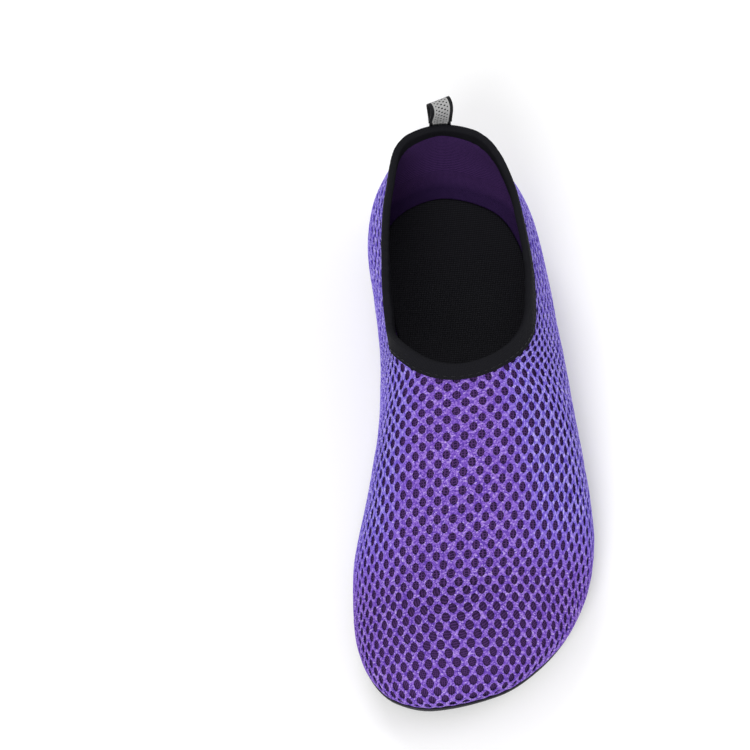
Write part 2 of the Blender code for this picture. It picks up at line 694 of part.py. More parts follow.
def build_heel_tape():
    """Webbing over the back seam, from the sole's rim to the collar, with its pull loop."""
    cut, edge = Cut(HEEL_BACK), collar_turn(int(HEEL_BACK))
    rise = (cut.surface(edge, 0.0) - cut.surface(edge - 0.05, 0.0)).length / 0.05
    over_binding = 2 * gap + binding_thickness
    binding_foot = edge - (binding_outside + gap) / rise
    ramp_foot = binding_foot - 2 * tape_thickness / rise
    half = math.asin(tape_width / 2 / cut.radius) / (math.pi / heel_steps)
    # Turns up the wall, below zero as shares of the way down to the sole's rim
    rows = [(-1.0, gap), (-0.67, gap), (-0.33, gap)]
    rows += [(ramp_foot * k / 4, gap) for k in range(5)]
    rows += [(binding_foot, over_binding), (edge, over_binding)]

    def point_at(side, turn, offset):
        if turn < 0:
            turn *= cut.below_turn(rim_rise + gap, offset)
        return Cut(HEEL_BACK + side * half).surface(turn, offset)

    bm = bmesh.new()
    rings = []
    for turn, offset in rows:
        outer = [point_at(side, turn, offset + tape_thickness) for side in (1, 0, -1)]
        inner = [point_at(side, turn, offset) for side in (-1, 0, 1)]
        rings.append([bm.verts.new(point) for point in outer + inner])
    top = sum((vert.co for vert in rings[-1]), Vector()) / 6
    stand = gap + binding_thickness + gap
    rings.append([bm.verts.new(vert.co + Vector((0.0, 0.0, stand))) for vert in rings[-1]])
    add_tube(bm, rings)
    bm.faces.new(rings[0])
    bm.faces.new(rings[-1])
    strip = object_from("strip", bm)

    bm = bmesh.new()
    up = Vector((0.0, math.sin(loop_lean), math.cos(loop_lean)))
    back = Vector((0.0, math.cos(loop_lean), -math.sin(loop_lean)))
    ends = []
    for side in (-0.5, 0.5):
        rings = []
        for width, foot_height, head_height in (
                (loop_width, stand - tape_thickness, loop_height),
                (loop_width - 2 * tape_thickness, stand + 2 * tape_thickness, loop_height - tape_thickness)):
            ring = []
            for k in range(20):
                angle = 2 * math.pi * (k + 0.5) / 20
                height = foot_height + (head_height - foot_height) * (0.5 - 0.5 * math.cos(angle))
                bulge = 0.61 * width * math.sin(angle) * math.sin(angle / 2) ** 1.3
                twist = loop_twist * min(height / loop_height, 1.0)
                across = side * tape_width
                spot = Vector((across * math.cos(twist) - bulge * math.sin(twist),
                               across * math.sin(twist) + bulge * math.cos(twist), 0.0))
                point = top + Vector((spot.x, 0.0, 0.0)) + back * spot.y + up * height
                ring.append(bm.verts.new(point))
            rings.append(ring)
        ends.append(rings)
    for k in range(20):
        add_strip(bm, (ends[0][0][k - 1], ends[0][0][k]), (ends[1][0][k - 1], ends[1][0][k]))
        add_strip(bm, (ends[0][1][k], ends[0][1][k - 1]), (ends[1][1][k], ends[1][1][k - 1]))
        for rings in ends:
            add_strip(bm, (rings[0][k - 1], rings[0][k]), (rings[1][k - 1], rings[1][k]))
    combined(strip, "UNION", tool_from("loop", bm))
    return piece("heel_pull_loop", bmesh_of(strip), (0.75, 0.75, 0.74), 0.7)


def stand_on_origin(pieces):
    """Moves the pieces so that the middle of the shoe's box stands over the origin."""
    corners = [vert.co for obj in pieces for vert in obj.data.vertices]
    middle_x = (min(co.x for co in corners) + max(co.x for co in corners)) / 2
    middle_y = (min(co.y for co in corners) + max(co.y for co in corners)) / 2
    for obj in pieces:
        obj.data.transform(Matrix.Translation((-middle_x, -middle_y, 0.0)))


for old in list(bpy.data.objects):
    bpy.data.objects.remove(old)
stand_on_origin([build_upper(), build_insole(), build_outsole(), build_binding(), build_heel_tape()])
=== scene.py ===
import functools
import math

import bmesh
import bpy
from mathutils import Matrix, Vector, noise
from mathutils.bvhtree import BVHTree


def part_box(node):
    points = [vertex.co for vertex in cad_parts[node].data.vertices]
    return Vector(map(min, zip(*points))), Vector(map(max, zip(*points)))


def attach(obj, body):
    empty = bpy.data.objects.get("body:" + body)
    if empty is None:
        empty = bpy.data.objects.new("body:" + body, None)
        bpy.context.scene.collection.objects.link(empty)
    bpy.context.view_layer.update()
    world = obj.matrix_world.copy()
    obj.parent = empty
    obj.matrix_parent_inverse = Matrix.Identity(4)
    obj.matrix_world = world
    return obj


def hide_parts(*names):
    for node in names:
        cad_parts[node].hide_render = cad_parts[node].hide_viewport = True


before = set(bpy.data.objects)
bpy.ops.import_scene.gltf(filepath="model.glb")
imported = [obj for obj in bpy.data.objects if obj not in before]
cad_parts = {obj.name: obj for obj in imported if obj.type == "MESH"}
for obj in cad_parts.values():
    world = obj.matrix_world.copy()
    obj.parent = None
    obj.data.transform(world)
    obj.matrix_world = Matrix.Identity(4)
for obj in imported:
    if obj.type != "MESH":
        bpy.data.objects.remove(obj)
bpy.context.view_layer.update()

# Camera. A long lens, high over the toe and a little to the big toe's side, turned slightly.
camera_data = bpy.data.cameras.new("camera")
camera_data.lens = 114.24
camera_data.sensor_width = 36.0
camera_data.clip_start = 0.05
camera_data.clip_end = 20.0
camera = bpy.data.objects.new("camera", camera_data)
camera.matrix_world = Matrix((
    (0.99756, 0.06976, 0.0, -0.03425),
    (-0.06101, 0.87249, -0.48481, -0.45602),
    (-0.03382, 0.48363, 0.87462, 0.88558),
    (0.0, 0.0, 0.0, 1.0)))
bpy.context.scene.collection.objects.link(camera)
bpy.context.scene.camera = camera
bpy.context.scene.view_settings.view_transform = "Standard"

# Outsole. Black rubber moulded in one piece: a cupped base with a low rim, a rounded side and a
# hexagon tread, cemented under the lasted upper. The tread solid stays. A moulded skin gives the
# rim and side their smooth round face, with the fine parting step that runs round them.
MM = 0.001
shoe_length = 245.0 * MM
ball_width = 99.0 * MM
instep_height = 60.0 * MM
wall = 1.6 * MM
lasting_margin = 7.0 * MM
rim_rise = 1.8 * MM
rim_thickness = 1.2 * MM
rim_round = 7.0 * MM
gap = 0.3 * MM
lug_height = 1.3 * MM
sole_base = 3.0 * MM
toe_centre_along = 0.185
throat_along = 0.515
heel_centre_along = 0.860
spring_along = 0.270
toe_spring = 6.0 * MM
heel_lift_along = 0.950
heel_lift = 1.2 * MM
arch_from_along = 0.440
arch_to_along = 0.740
arch_lift = 1.5 * MM
side_height = 51.0 * MM
heel_height = 62.5 * MM
collar_draw = 2.4 * MM
draw_near = 6.0 * MM
draw_far = 28.0 * MM
toe_steps = 16
heel_steps = 20

# The last: its widest line and the form of its upright cuts, as shares of the sizes above.
# along, medial, lateral, bulge, top_m, top_l, tuck_m, tuck_l, round_m, round_l
ALONG, MEDIAL, LATERAL, BULGE, TOP, TUCK, ROUND_M = 0, 1, 2, 3, 4, 6, 8
SECTIONS = (
    (0.020, -0.360, 0.072, 0.200, 0.52, 0.52, 0.14, 0.14, 2.40, 2.40),
    (0.060, -0.443, 0.232, 0.200, 0.52, 0.52, 0.14, 0.14, 2.40, 2.40),
    (0.115, -0.485, 0.362, 0.200, 0.53, 0.53, 0.15, 0.15, 2.40, 2.40),
    (0.185, -0.494, 0.452, 0.200, 0.56, 0.56, 0.15, 0.15, 2.40, 2.30),
    (0.265, -0.479, 0.500, 0.205, 0.63, 0.63, 0.16, 0.16, 2.45, 2.20),
    (0.345, -0.430, 0.506, 0.215, 0.74, 0.74, 0.17, 0.16, 2.45, 2.05),
    (0.420, -0.382, 0.494, 0.240, 0.87, 0.87, 0.21, 0.17, 2.45, 1.95),
    (0.515, -0.335, 0.474, 0.290, 1.02, 1.02, 0.29, 0.18, 2.35, 1.85),
    (0.580, -0.318, 0.460, 0.320, 1.30, 1.06, 0.31, 0.18, 2.30, 1.80),
    (0.650, -0.312, 0.446, 0.350, 1.42, 1.08, 0.30, 0.18, 2.25, 1.80),
    (0.740, -0.322, 0.430, 0.370, 1.26, 1.14, 0.22, 0.17, 2.25, 1.85),
    (0.860, -0.332, 0.393, 0.370, 1.15, 1.20, 0.16, 0.15, 2.25, 2.10),
    (0.940, -0.275, 0.314, 0.370, 1.28, 1.35, 0.15, 0.15, 2.20, 2.20),
    (0.982, -0.160, 0.180, 0.370, 1.65, 1.65, 0.15, 0.15, 2.20, 2.20),
)
TOE_APEX = -0.205
HEEL_APEX = 0.005
SPINE = ((0.185, -0.100), (0.350, -0.052), (0.515, -0.010), (0.700, 0.010), (0.860, 0.010))
COLLAR = ((0.515, 0.55), (0.560, 0.32), (0.620, 0.06), (0.680, 0.00), (0.740, 0.04), (0.860, 0.40),
          (1.000, 1.00))
STATIONS = (0.185, 0.226, 0.267, 0.308, 0.350, 0.391, 0.432, 0.474, 0.515, 0.523, 0.536, 0.555,
            0.580, 0.609, 0.640, 0.675, 0.712, 0.749, 0.786, 0.823, 0.860)
side_steps = len(STATIONS) - 1
LATERAL_FROM = toe_steps
HEEL_FROM = LATERAL_FROM + side_steps
MEDIAL_FROM = HEEL_FROM + heel_steps
ROUND = MEDIAL_FROM + side_steps
HEEL_BACK = HEEL_FROM + heel_steps / 2


def curve_value(points, at):
    """Smooth value through (place, value) pairs."""
    if at <= points[0][0]:
        return points[0][1]
    if at >= points[-1][0]:
        return points[-1][1]
    i = max(k for k in range(len(points) - 1) if points[k][0] <= at)
    (x0, y0), (x1, y1) = points[i], points[i + 1]
    before, after = points[max(i - 1, 0)], points[min(i + 2, len(points) - 1)]
    width = x1 - x0
    slope0 = (y1 - before[1]) / (x1 - before[0]) * width
    slope1 = (after[1] - y0) / (after[0] - x0) * width
    t = (at - x0) / width
    return (y0 * (1 + 2 * t) * (1 - t) ** 2 + slope0 * t * (1 - t) ** 2
            + y1 * t * t * (3 - 2 * t) + slope1 * t * t * (t - 1))


COLUMN_CURVES = [[(row[0], row[k]) for row in SECTIONS] for k in range(len(SECTIONS[0]))]


def section(column, along):
    return curve_value(COLUMN_CURVES[column], along)


def place(along):
    return (along - 0.5) * shoe_length


def ground_lift(y):
    """How far the sole leaves the floor: toe spring, heel and arch."""
    along = y / shoe_length + 0.5
    toe = max(0.0, (spring_along - along) / spring_along)
    heel = max(0.0, (along - heel_lift_along) / (1.0 - heel_lift_along))
    arch = (along - arch_from_along) / (arch_to_along - arch_from_along)
    arch_wave = 0.5 - 0.5 * math.cos(2 * math.pi * min(max(arch, 0.0), 1.0))
    return toe_spring * toe ** 2 + heel_lift * heel ** 2 + arch_lift * arch_wave


def widest_line(steps=12):
    """The last's widest line in plan, closed."""
    knots = [Vector((TOE_APEX * ball_width, place(0.0)))]
    knots += [Vector((row[LATERAL] * ball_width, place(row[ALONG]))) for row in SECTIONS]
    knots += [Vector((HEEL_APEX * ball_width, place(1.0)))]
    knots += [Vector((row[MEDIAL] * ball_width, place(row[ALONG]))) for row in reversed(SECTIONS)]
    points = []
    for i in range(len(knots)):
        a, b, c, d = (knots[(i + k - 1) % len(knots)] for k in range(4))
        length = (c - b).length
        out = (c - a) * (length / ((c - b).length + (b - a).length))
        into = (d - b) * (length / ((d - c).length + (c - b).length))
        for k in range(steps):
            t = k / steps
            points.append(b * ((1 + 2 * t) * (1 - t) ** 2) + out * (t * (1 - t) ** 2)
                          + c * (t * t * (3 - 2 * t)) + into * (t * t * (t - 1)))
    return points


OUTLINE = widest_line()


def reach(origin, direction):
    """Distance from a point of the spine to the widest line in a plan direction."""
    best = 0.0
    for i, a in enumerate(OUTLINE):
        b = OUTLINE[(i + 1) % len(OUTLINE)]
        edge_x, edge_y = b.x - a.x, b.y - a.y
        cross = direction.x * edge_y - direction.y * edge_x
        if abs(cross) < 1e-15:
            continue
        to_x, to_y = a.x - origin.x, a.y - origin.y
        far = (to_x * edge_y - to_y * edge_x) / cross
        share = (to_x * direction.y - to_y * direction.x) / cross
        if far > best and -1e-6 <= share <= 1 + 1e-6:
            best = far
    return best


def eased(low, high, value):
    """0 up to low, 1 from high, and a smooth way between."""
    share = min(max((value - low) / (high - low), 0.0), 1.0)
    return share * share * (3 - 2 * share)


class Cut:
    """One upright cut of the last, at any place on the way round it."""

    stand = Vector((0.0, 0.0, 0.0))

    def __init__(self, step):
        step = step % ROUND
        if step < LATERAL_FROM:
            start, end, angle = toe_centre_along, 0.0, math.pi * (1 + step / toe_steps)
        elif step <= HEEL_FROM:
            start = end = self.station(step - LATERAL_FROM)
            angle = 0.0
        elif step < MEDIAL_FROM:
            start, end, angle = heel_centre_along, 1.0, math.pi * (step - HEEL_FROM) / heel_steps
        else:
            start = end = self.station(ROUND - step)
            angle = math.pi
        self.direction = Vector((math.cos(angle), math.sin(angle)))
        self.origin = Vector((curve_value(SPINE, start) * ball_width, place(start)))
        self.radius = reach(self.origin, self.direction)
        self.along = start + (end - start) * abs(math.sin(angle))
        lateral = 0.5 + 0.5 * math.cos(angle)
        self.round = self.blend(ROUND_M, lateral)
        if start > throat_along:
            self.top = self.blend(TOP, lateral) * instep_height
        else:
            self.top = (section(TOP, start) + section(TOP + 1, start)) / 2 * instep_height
        self.tuck = self.blend(TUCK, lateral) * instep_height
        self.bulge = section(BULGE, self.along) * instep_height
        self.floor = lug_height + sole_base + gap
        self.collar = side_height + (heel_height - side_height) * curve_value(COLLAR, self.along)
        self.draw = collar_draw * eased(throat_along, throat_along + 0.1, start) * abs(math.cos(angle))

    @staticmethod
    def station(position):
        i = min(int(position), side_steps - 1)
        share = position - i
        return STATIONS[i] * (1 - share) + STATIONS[i + 1] * share

    def blend(self, medial_column, share):
        return (section(medial_column, self.along) * (1 - share)
                + section(medial_column + 1, self.along) * share)

    def at(self, distance, height, lift_share=1.0):
        x, y = self.origin + self.direction * distance
        return Vector((x, y, height + ground_lift(y) * lift_share)) + self.stand

    def above(self, turn, offset):
        """Wall above the widest line. turn 0 is that line and 1 is the spine."""
        angle = turn * math.pi / 2
        rise = max(math.sin(angle), 0.0)
        inward = max(math.cos(angle), 0.0) ** (2.0 / self.round) if turn < 1 else 0.0
        height = self.bulge + (self.top - self.bulge + offset) * rise
        under = self.collar - self.bulge - (self.top - self.bulge) * rise
        draw = self.draw * eased(0.0, draw_near, under) * (1 - eased(draw_near, draw_far, under))
        return self.at((self.radius + offset) * inward - draw, height, 1.0 - rise)

    def below(self, turn, offset):
        """Wall under the widest line. turn 1 is the feather edge, where the floor begins."""
        angle = turn * math.pi / 2
        distance = self.radius - self.tuck + (self.tuck + offset) * math.cos(angle)
        height = self.bulge - (self.bulge - self.floor + offset) * math.sin(angle)
        return self.at(distance, height)

    def surface(self, turn, offset):
        return self.above(turn, offset) if turn >= 0 else self.below(-turn, offset)

    def below_turn(self, height, offset):
        fall = (self.bulge - self.floor - height) / (self.bulge - self.floor + offset)
        return math.asin(min(max(fall, 0.0), 1.0)) * 2 / math.pi


@functools.lru_cache(maxsize=None)
def cut_on(step):
    return Cut(step)


# The solids stand with the middle of their box over the origin
upper_low, upper_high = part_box("upper")
bulges = [cut_on(step).above(0.0, 0.0) for step in range(ROUND)]
Cut.stand = Vector((
    (upper_low.x + upper_high.x - min(p.x for p in bulges) - max(p.x for p in bulges)) / 2,
    (upper_low.y + upper_high.y - min(p.y for p in bulges) - max(p.y for p in bulges)) / 2, 0.0))


def laid(columns, rows, point_at, width, length):
    """A sheet laid over a form, point by point, with its own flat millimetres as UV map."""
    bm = bmesh.new()
    uv = bm.loops.layers.uv.new("cloth")
    bmesh.ops.create_grid(bm, x_segments=columns, y_segments=rows, size=0.5)
    for face in bm.faces:
        for loop in face.loops:
            x, y = loop.vert.co.xy
            loop[uv].uv = ((x + 0.5) * width / MM, (y + 0.5) * length / MM)
    places = {vert: point_at(vert.co.x + 0.5, vert.co.y + 0.5) for vert in bm.verts}
    for vert, spot in places.items():
        vert.co = spot
    bmesh.ops.remove_doubles(bm, verts=bm.verts, dist=0.01 * MM)
    return bm


def made(name, bm, material):
    """A finished piece: smooth shaded, with its finish, riding on the shoe."""
    mesh = bpy.data.meshes.new(name)
    bm.to_mesh(mesh)
    bm.free()
    mesh.shade_smooth()
    mesh.materials.append(material)
    piece = bpy.data.objects.new(name, mesh)
    bpy.context.scene.collection.objects.link(piece)
    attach(piece, "root")
    return piece


def finish(name, colour, roughness, **sockets):
    """A new shader finish with its plain values. Returns the material, its tree and its shader."""
    material = bpy.data.materials.new(name)
    material.use_nodes = True
    tree = material.node_tree
    shader = tree.nodes["Principled BSDF"]
    shader.inputs["Base Color"].default_value = (*colour, 1.0)
    shader.inputs["Roughness"].default_value = roughness
    for socket, value in sockets.items():
        shader.inputs[socket.replace("_", " ")].default_value = value
    return material, tree, shader


def node(tree, kind, links=None, **settings):
    """Adds a node, with its settings and what goes into its sockets."""
    added = tree.nodes.new(kind)
    for key, value in settings.items():
        setattr(added, key, value)
    for socket, value in (links or {}).items():
        if isinstance(value, bpy.types.NodeSocket):
            tree.links.new(value, added.inputs[socket])
        else:
            added.inputs[socket].default_value = value
    return added


def ramp(tree, fac, stops):
    """Colours along a factor: stops are (place, (r, g, b))."""
    added = node(tree, "ShaderNodeValToRGB", {"Fac": fac})
    points = added.color_ramp.elements
    while len(points) < len(stops):
        points.new(0.5)
    for point, (at, colour) in zip(points, stops):
        point.position = at
        point.color = (*colour, 1.0)
    return added.outputs["Color"]


def maths(tree, operation, a, b=0.0, clamp=False):
    """A sum on two values. MULTIPLY_ADD adds the node's own third value, 0.5."""
    return node(tree, "ShaderNodeMath", {0: a, 1: b}, operation=operation, use_clamp=clamp).outputs[0]


def bumped(tree, shader, height, distance, strength=1.0, under=None):
    """A bump of that depth in metres, over another bump where one is given."""
    links = {"Height": height, "Distance": distance, "Strength": strength}
    if under:
        links["Normal"] = under
    relief = node(tree, "ShaderNodeBump", links).outputs["Normal"]
    tree.links.new(relief, shader.inputs["Normal"])
    return relief


rubber, tree, shader = finish("moulded_rubber", (0.014, 0.013, 0.018), 0.42, Specular_IOR_Level=0.35)
where = node(tree, "ShaderNodeTexCoord").outputs["Object"]
grain = node(tree, "ShaderNodeTexNoise", {"Vector": where, "Scale": 2600.0, "Detail": 3.0}).outputs["Fac"]
scuffs = node(tree, "ShaderNodeTexNoise", {"Vector": where, "Scale": 70.0, "Detail": 5.0,
                                           "Roughness": 0.65}).outputs["Fac"]
tree.links.new(ramp(tree, scuffs, ((0.35, (0.007, 0.007, 0.010)), (0.62, (0.012, 0.011, 0.016)),
                                   (0.80, (0.022, 0.021, 0.027)))), shader.inputs["Base Color"])
tree.links.new(ramp(tree, scuffs, ((0.30, (0.36,) * 3), (0.75, (0.52,) * 3))), shader.inputs["Roughness"])
bumped(tree, shader, grain, 0.00006, 0.5)

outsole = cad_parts["outsole"]
outsole.data.materials.clear()
outsole.data.materials.append(rubber)

skin_proud = 0.14 * MM
skin_thickness = 0.35 * MM
rim_lean = 0.12 * MM
rim_inside = 0.5 * MM
parting_groove = 0.22 * MM
# Shares of the way across the skin: where the rim's inner face and its round top end, and where
# the parting groove lies, with its spread
inner_share = 0.12
top_share = 0.4
parting_share = 0.56
parting_spread = 0.022
SKIN_ROWS = 26
SKIN_STEPS = 4


def sole_side(across, round_share):
    """The rubber's outer face on a cut, from inside the rim over its top and down to the tread."""
    cut = cut_on(round_share * ROUND)
    turn = cut.below_turn(rim_rise, gap)
    rim = cut.below(turn, gap) - cut.stand
    distance = (rim.xy - cut.origin).length
    edge = distance + rim_thickness
    flat_lift = ground_lift(rim.y)
    height = rim.z - flat_lift
    start = height - rim_thickness / 2
    if across < inner_share:
        out = distance + rim_lean * (1 - across / inner_share)
        high = height - rim_inside * (1 - across / inner_share)
    elif across < top_share:
        turn = (across - inner_share) / (top_share - inner_share) * math.pi / 2
        out = distance + (rim_thickness + skin_proud) * math.sin(turn) ** 0.9
        high = height + skin_proud - (rim_thickness / 2 + skin_proud) * (1 - math.cos(turn)) ** 1.3
    else:
        turn = (across - top_share) / (1 - top_share) * math.pi / 2
        out = edge + skin_proud - (rim_round + skin_proud) * (1 - math.cos(turn))
        high = start - (start - lug_height) * math.sin(turn)
        out -= parting_groove * math.exp(-((across - parting_share) / parting_spread) ** 2)
    return cut.at(out, high)


skin = laid(SKIN_ROWS, ROUND * SKIN_STEPS, sole_side, 14 * MM, 620 * MM)
bmesh.ops.recalc_face_normals(skin, faces=skin.faces)
bmesh.ops.solidify(skin, geom=skin.faces[:], thickness=skin_thickness)
made("outsole_side", skin, rubber)

# Fine grip. Small hexagon studs and rings of the same rubber, moulded with the tread: studs in the
# dished pads and under the big toe, rings under the other toes. None reaches below the lugs, so
# the shoe still stands on its tread.
stud_pitch = 2.2 * MM
stud_root = 0.95 * MM
stud_tip = 0.70 * MM
stud_sunk = 0.12 * MM
toe_relief = 0.35 * MM
pad_ring = 2.0 * MM
pad_dish = 0.6 * MM
stud_seat = 0.15 * MM
patch_reach = 20.0 * MM
ring_radius = 2.4 * MM
ring_width = 0.9 * MM
ring_depth = 0.7 * toe_relief
grip_crease = math.radians(40)
# Dished pads: along, share of the ball width from the heel's centre line, radius
DISHED_PADS = ((0.294, -0.086, 16.5 * MM), (0.355, 0.303, 9.8 * MM), (0.869, 0.020, 17.0 * MM))
# Grip patch under the big toe: along and across of each corner
TOE_PATCH = ((0.040, -0.225), (0.062, -0.350), (0.120, -0.415), (0.121, -0.150), (0.108, -0.130))
# Rings under the toes: along and across
TOE_RINGS = ((0.132, -0.374), (0.140, -0.218), (0.112, -0.008), (0.161, 0.000), (0.141, 0.152),
             (0.184, 0.152), (0.207, 0.278), (0.200, 0.343))


def plan(along, across):
    return Vector((across * ball_width, place(along))) + Cut.stand.xy


def inside(spot, corners, margin):
    """Whether a spot lies inside a convex outline by at least a margin."""
    middle = sum(corners, Vector((0, 0))) / len(corners)
    for a, b in zip(corners, corners[1:] + corners[:1]):
        inward = Vector((a.y - b.y, b.x - a.x)).normalized()
        if (middle - a).dot(inward) < 0:
            inward.negate()
        if (spot - a).dot(inward) < margin:
            return False
    return True


def stud_field(bm, centre, radius, low, high, corners=None):
    """Studs on a triangular grid, in a round field or within an outline."""
    count = int(radius / stud_pitch) + 1
    for row in range(-count - 2, count + 3):
        for k in range(-count - 1, count + 2):
            across = (k + 0.5 * (row % 2)) * stud_pitch
            spot = centre + Vector((across, row * stud_pitch * math.sqrt(3) / 2))
            if (spot - centre).length > radius - stud_root:
                continue
            if corners and not inside(spot, corners, stud_root):
                continue
            lift = ground_lift(spot.y - Cut.stand.y)
            bmesh.ops.create_cone(bm, cap_ends=True, segments=6, radius1=stud_tip, radius2=stud_root,
                                  depth=high - low,
                                  matrix=Matrix.Translation((spot.x, spot.y, lift + (low + high) / 2)))


grip = bmesh.new()
for along, across, radius in DISHED_PADS:
    stud_field(grip, plan(along, across), radius - pad_ring, stud_seat, pad_dish + stud_sunk)
patch = [plan(along, across) for along, across in TOE_PATCH]
stud_field(grip, sum(patch, Vector((0, 0))) / len(patch), patch_reach, -toe_relief, stud_sunk, patch)
for along, across in TOE_RINGS:
    spot = plan(along, across)
    low = Matrix.Translation((spot.x, spot.y, ground_lift(spot.y - Cut.stand.y) - ring_depth))
    rims = []
    for radius in (ring_radius, ring_radius - ring_width):
        circle = bmesh.ops.create_circle(grip, segments=24, radius=radius, matrix=low)["verts"]
        rims += list({edge for vert in circle for edge in vert.link_edges})
    flat = bmesh.ops.bridge_loops(grip, edges=rims)["faces"]
    raised = bmesh.ops.extrude_face_region(grip, geom=flat)["geom"]
    bmesh.ops.translate(grip, vec=(0, 0, ring_depth + stud_sunk),
                        verts=[vert for vert in raised if isinstance(vert, bmesh.types.BMVert)])
bmesh.ops.recalc_face_normals(grip, faces=grip.faces)
tread_grip = made("tread_grip", grip, rubber)
tread_grip.data.set_sharp_from_angle(angle=grip_crease)

# Insole. Thin black foam with a knitted face, dished a little under the heel. It is glued over the
# lasting margin and its edge stands against the foot of the upper.
insole_top = 4.4 * MM
insole_edge_round = 0.8 * MM
insole_edge_depth = 2.2 * MM
insole_clear = 0.35 * MM
insole_skin = 1.0 * MM
heel_dish = 1.2 * MM
ball_dish = 0.5 * MM
deepest_dish = 0.9 * MM
flat_share = 0.8


def insole_face(across, round_share):
    """From the middle line out to the wall, over the rounded edge and a little way down."""
    cut = cut_on(round_share * ROUND)
    turn = cut.below_turn(insole_top, -(wall + gap))
    wall_foot = (cut.below(turn, -(wall + gap)).xy - cut.stand.xy - cut.origin).length - insole_clear
    high = cut.floor + insole_top
    if across < flat_share:
        outward = across / flat_share
        out = (wall_foot - insole_edge_round) * outward
        heel = heel_dish * (1 - outward ** 2) * min(max((cut.along - 0.6) / 0.25, 0.0), 1.0)
        ball = ball_dish * (1 - outward ** 2) * math.exp(-((cut.along - 0.3) / 0.12) ** 2)
        high -= min(heel + ball, deepest_dish)
    else:
        turn = (across - flat_share) / (1 - flat_share) * math.pi / 2
        out = wall_foot - insole_edge_round * (1 - math.sin(turn))
        high -= insole_edge_depth * (1 - math.cos(turn))
    return cut.at(out, high)


knit, tree, shader = finish("insole_knit", (0.022, 0.022, 0.027), 0.9, Specular_IOR_Level=0.15)
where = node(tree, "ShaderNodeTexCoord").outputs["Object"]
rows = node(tree, "ShaderNodeTexWave", {"Vector": where, "Scale": 420.0, "Distortion": 0.6, "Detail": 1.0},
            bands_direction="X").outputs["Fac"]
loops = node(tree, "ShaderNodeTexWave", {"Vector": where, "Scale": 300.0, "Distortion": 0.6, "Detail": 1.0},
             bands_direction="Y").outputs["Fac"]
face = maths(tree, "MULTIPLY", rows, loops)
# The colour follows the knit's height: darker in the hollows between rows and loops, which is painted shade.
tree.links.new(ramp(tree, face, ((0.0, (0.008, 0.008, 0.010)), (0.7, (0.032, 0.032, 0.038)))),
               shader.inputs["Base Color"])
bumped(tree, shader, face, 0.00018, 0.8)

pad = laid(14, ROUND * 2, insole_face, 45 * MM, 600 * MM)
bmesh.ops.recalc_face_normals(pad, faces=pad.faces)
bmesh.ops.solidify(pad, geom=pad.faces[:], thickness=insole_skin)
insole = made("insole_pad", pad, knit)
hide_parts("insole")

# Upper. One U-shaped piece of large-hole violet net, seamed at the heel and drawn over the last.
# Its columns of holes run from the toe over the instep and back along both sides. The net is laid
# out flat as a lattice of holes, then mapped to the last by lengths down each cut.
net_columns_lateral = 36
net_columns_medial = 31
net_columns_cut = 6
net_cells = 78
net_middle = 18
toe_rows = 20
net_bend = 14.0 * MM
toe_row = 3.6 * MM
throat_row = 3.05 * MM
side_row = 4.7 * MM
sides_along = 0.70
throat_reach = 0.12
net_width = 72.0 * MM
net_thickness = 1.15 * MM
net_proud = 0.12 * MM
rim_depth = 0.42
slack_rise = 0.55 * MM
# How much closer than even the columns lie: low on the sides ahead, at the collar behind
instep_closer = 0.25
collar_closer = 0.38
# The rows run back on the sides by drawn_rows cells, growing down the wall and over so many rows
drawn_rows = 9.0
drawn_power = 1.7
drawn_over = 28.0
# The net is drawn long from and to these shares down the wall, and higher up beside the throat
drawn_from = 0.24
drawn_to = 0.50
drawn_higher = 0.13
# Half size of a hole in its lattice cell: on the instep, and what the sides and the toe add
HOLE_WIDE = (0.59, 0.13, 0.25)
HOLE_LONG = (0.72, 0.17, 0.09)
collar_narrows = 0.12
throat_round = 40.0 * MM
collar_half_width = 30.0 * MM
THROAT_LATERAL = LATERAL_FROM + STATIONS.index(throat_along)
THROAT_MEDIAL = ROUND - STATIONS.index(throat_along)
THROAT_T = STATIONS.index(throat_along)
SEAM_T = side_steps + heel_steps / 2


@functools.lru_cache(maxsize=None)
def collar_turn(step):
    """The turn at which the collar's edge crosses a cut: 1 in front of the throat."""
    if not THROAT_LATERAL < step < THROAT_MEDIAL:
        return 1.0
    cut = cut_on(step)
    rise = (cut.collar - cut.bulge) / (cut.top - cut.bulge)
    side = math.asin(min(max(rise, 0.05), 0.98)) * 2 / math.pi
    behind = min((place(cut.along) - place(throat_along)) / throat_round, 1.0)
    half_width = collar_half_width * math.sqrt(1.0 - (1.0 - behind) ** 2)
    front = math.acos(min(half_width / cut.radius, 1.0) ** (cut.round / 2)) * 2 / math.pi
    return front + (side - front) * behind


# Lengths down every half step of the way round, from the spine to the feather edge
TURN_STEPS = 30
DOWN = [1.0 - k / TURN_STEPS for k in range(2 * TURN_STEPS + 1)]
LENGTHS = []
for k in range(2 * ROUND):
    cut = cut_on(k / 2)
    spots = [cut.surface(turn, 0.0) for turn in DOWN]
    run = [0.0]
    for a, b in zip(spots, spots[1:]):
        run.append(run[-1] + (b - a).length)
    LENGTHS.append(run)


def turn_at(step, up_from_feather):
    """The turn on a cut at a length up the wall from the feather edge."""
    k = int(step * 2)
    share = step * 2 - k
    here, following = LENGTHS[k % (2 * ROUND)], LENGTHS[(k + 1) % (2 * ROUND)]
    down = here[-1] * (1 - share) + following[-1] * share - up_from_feather
    for i in range(len(DOWN) - 1):
        low = here[i] * (1 - share) + following[i] * share
        high = here[i + 1] * (1 - share) + following[i + 1] * share
        if down <= high:
            return DOWN[i] + (DOWN[i + 1] - DOWN[i]) * max(down - low, 0.0) / (high - low)
    return -1.0


def girth(step):
    """Whole length of a cut, from the spine to the feather edge."""
    k = int(step * 2)
    share = step * 2 - k
    return LENGTHS[k % (2 * ROUND)][-1] * (1 - share) + LENGTHS[(k + 1) % (2 * ROUND)][-1] * share


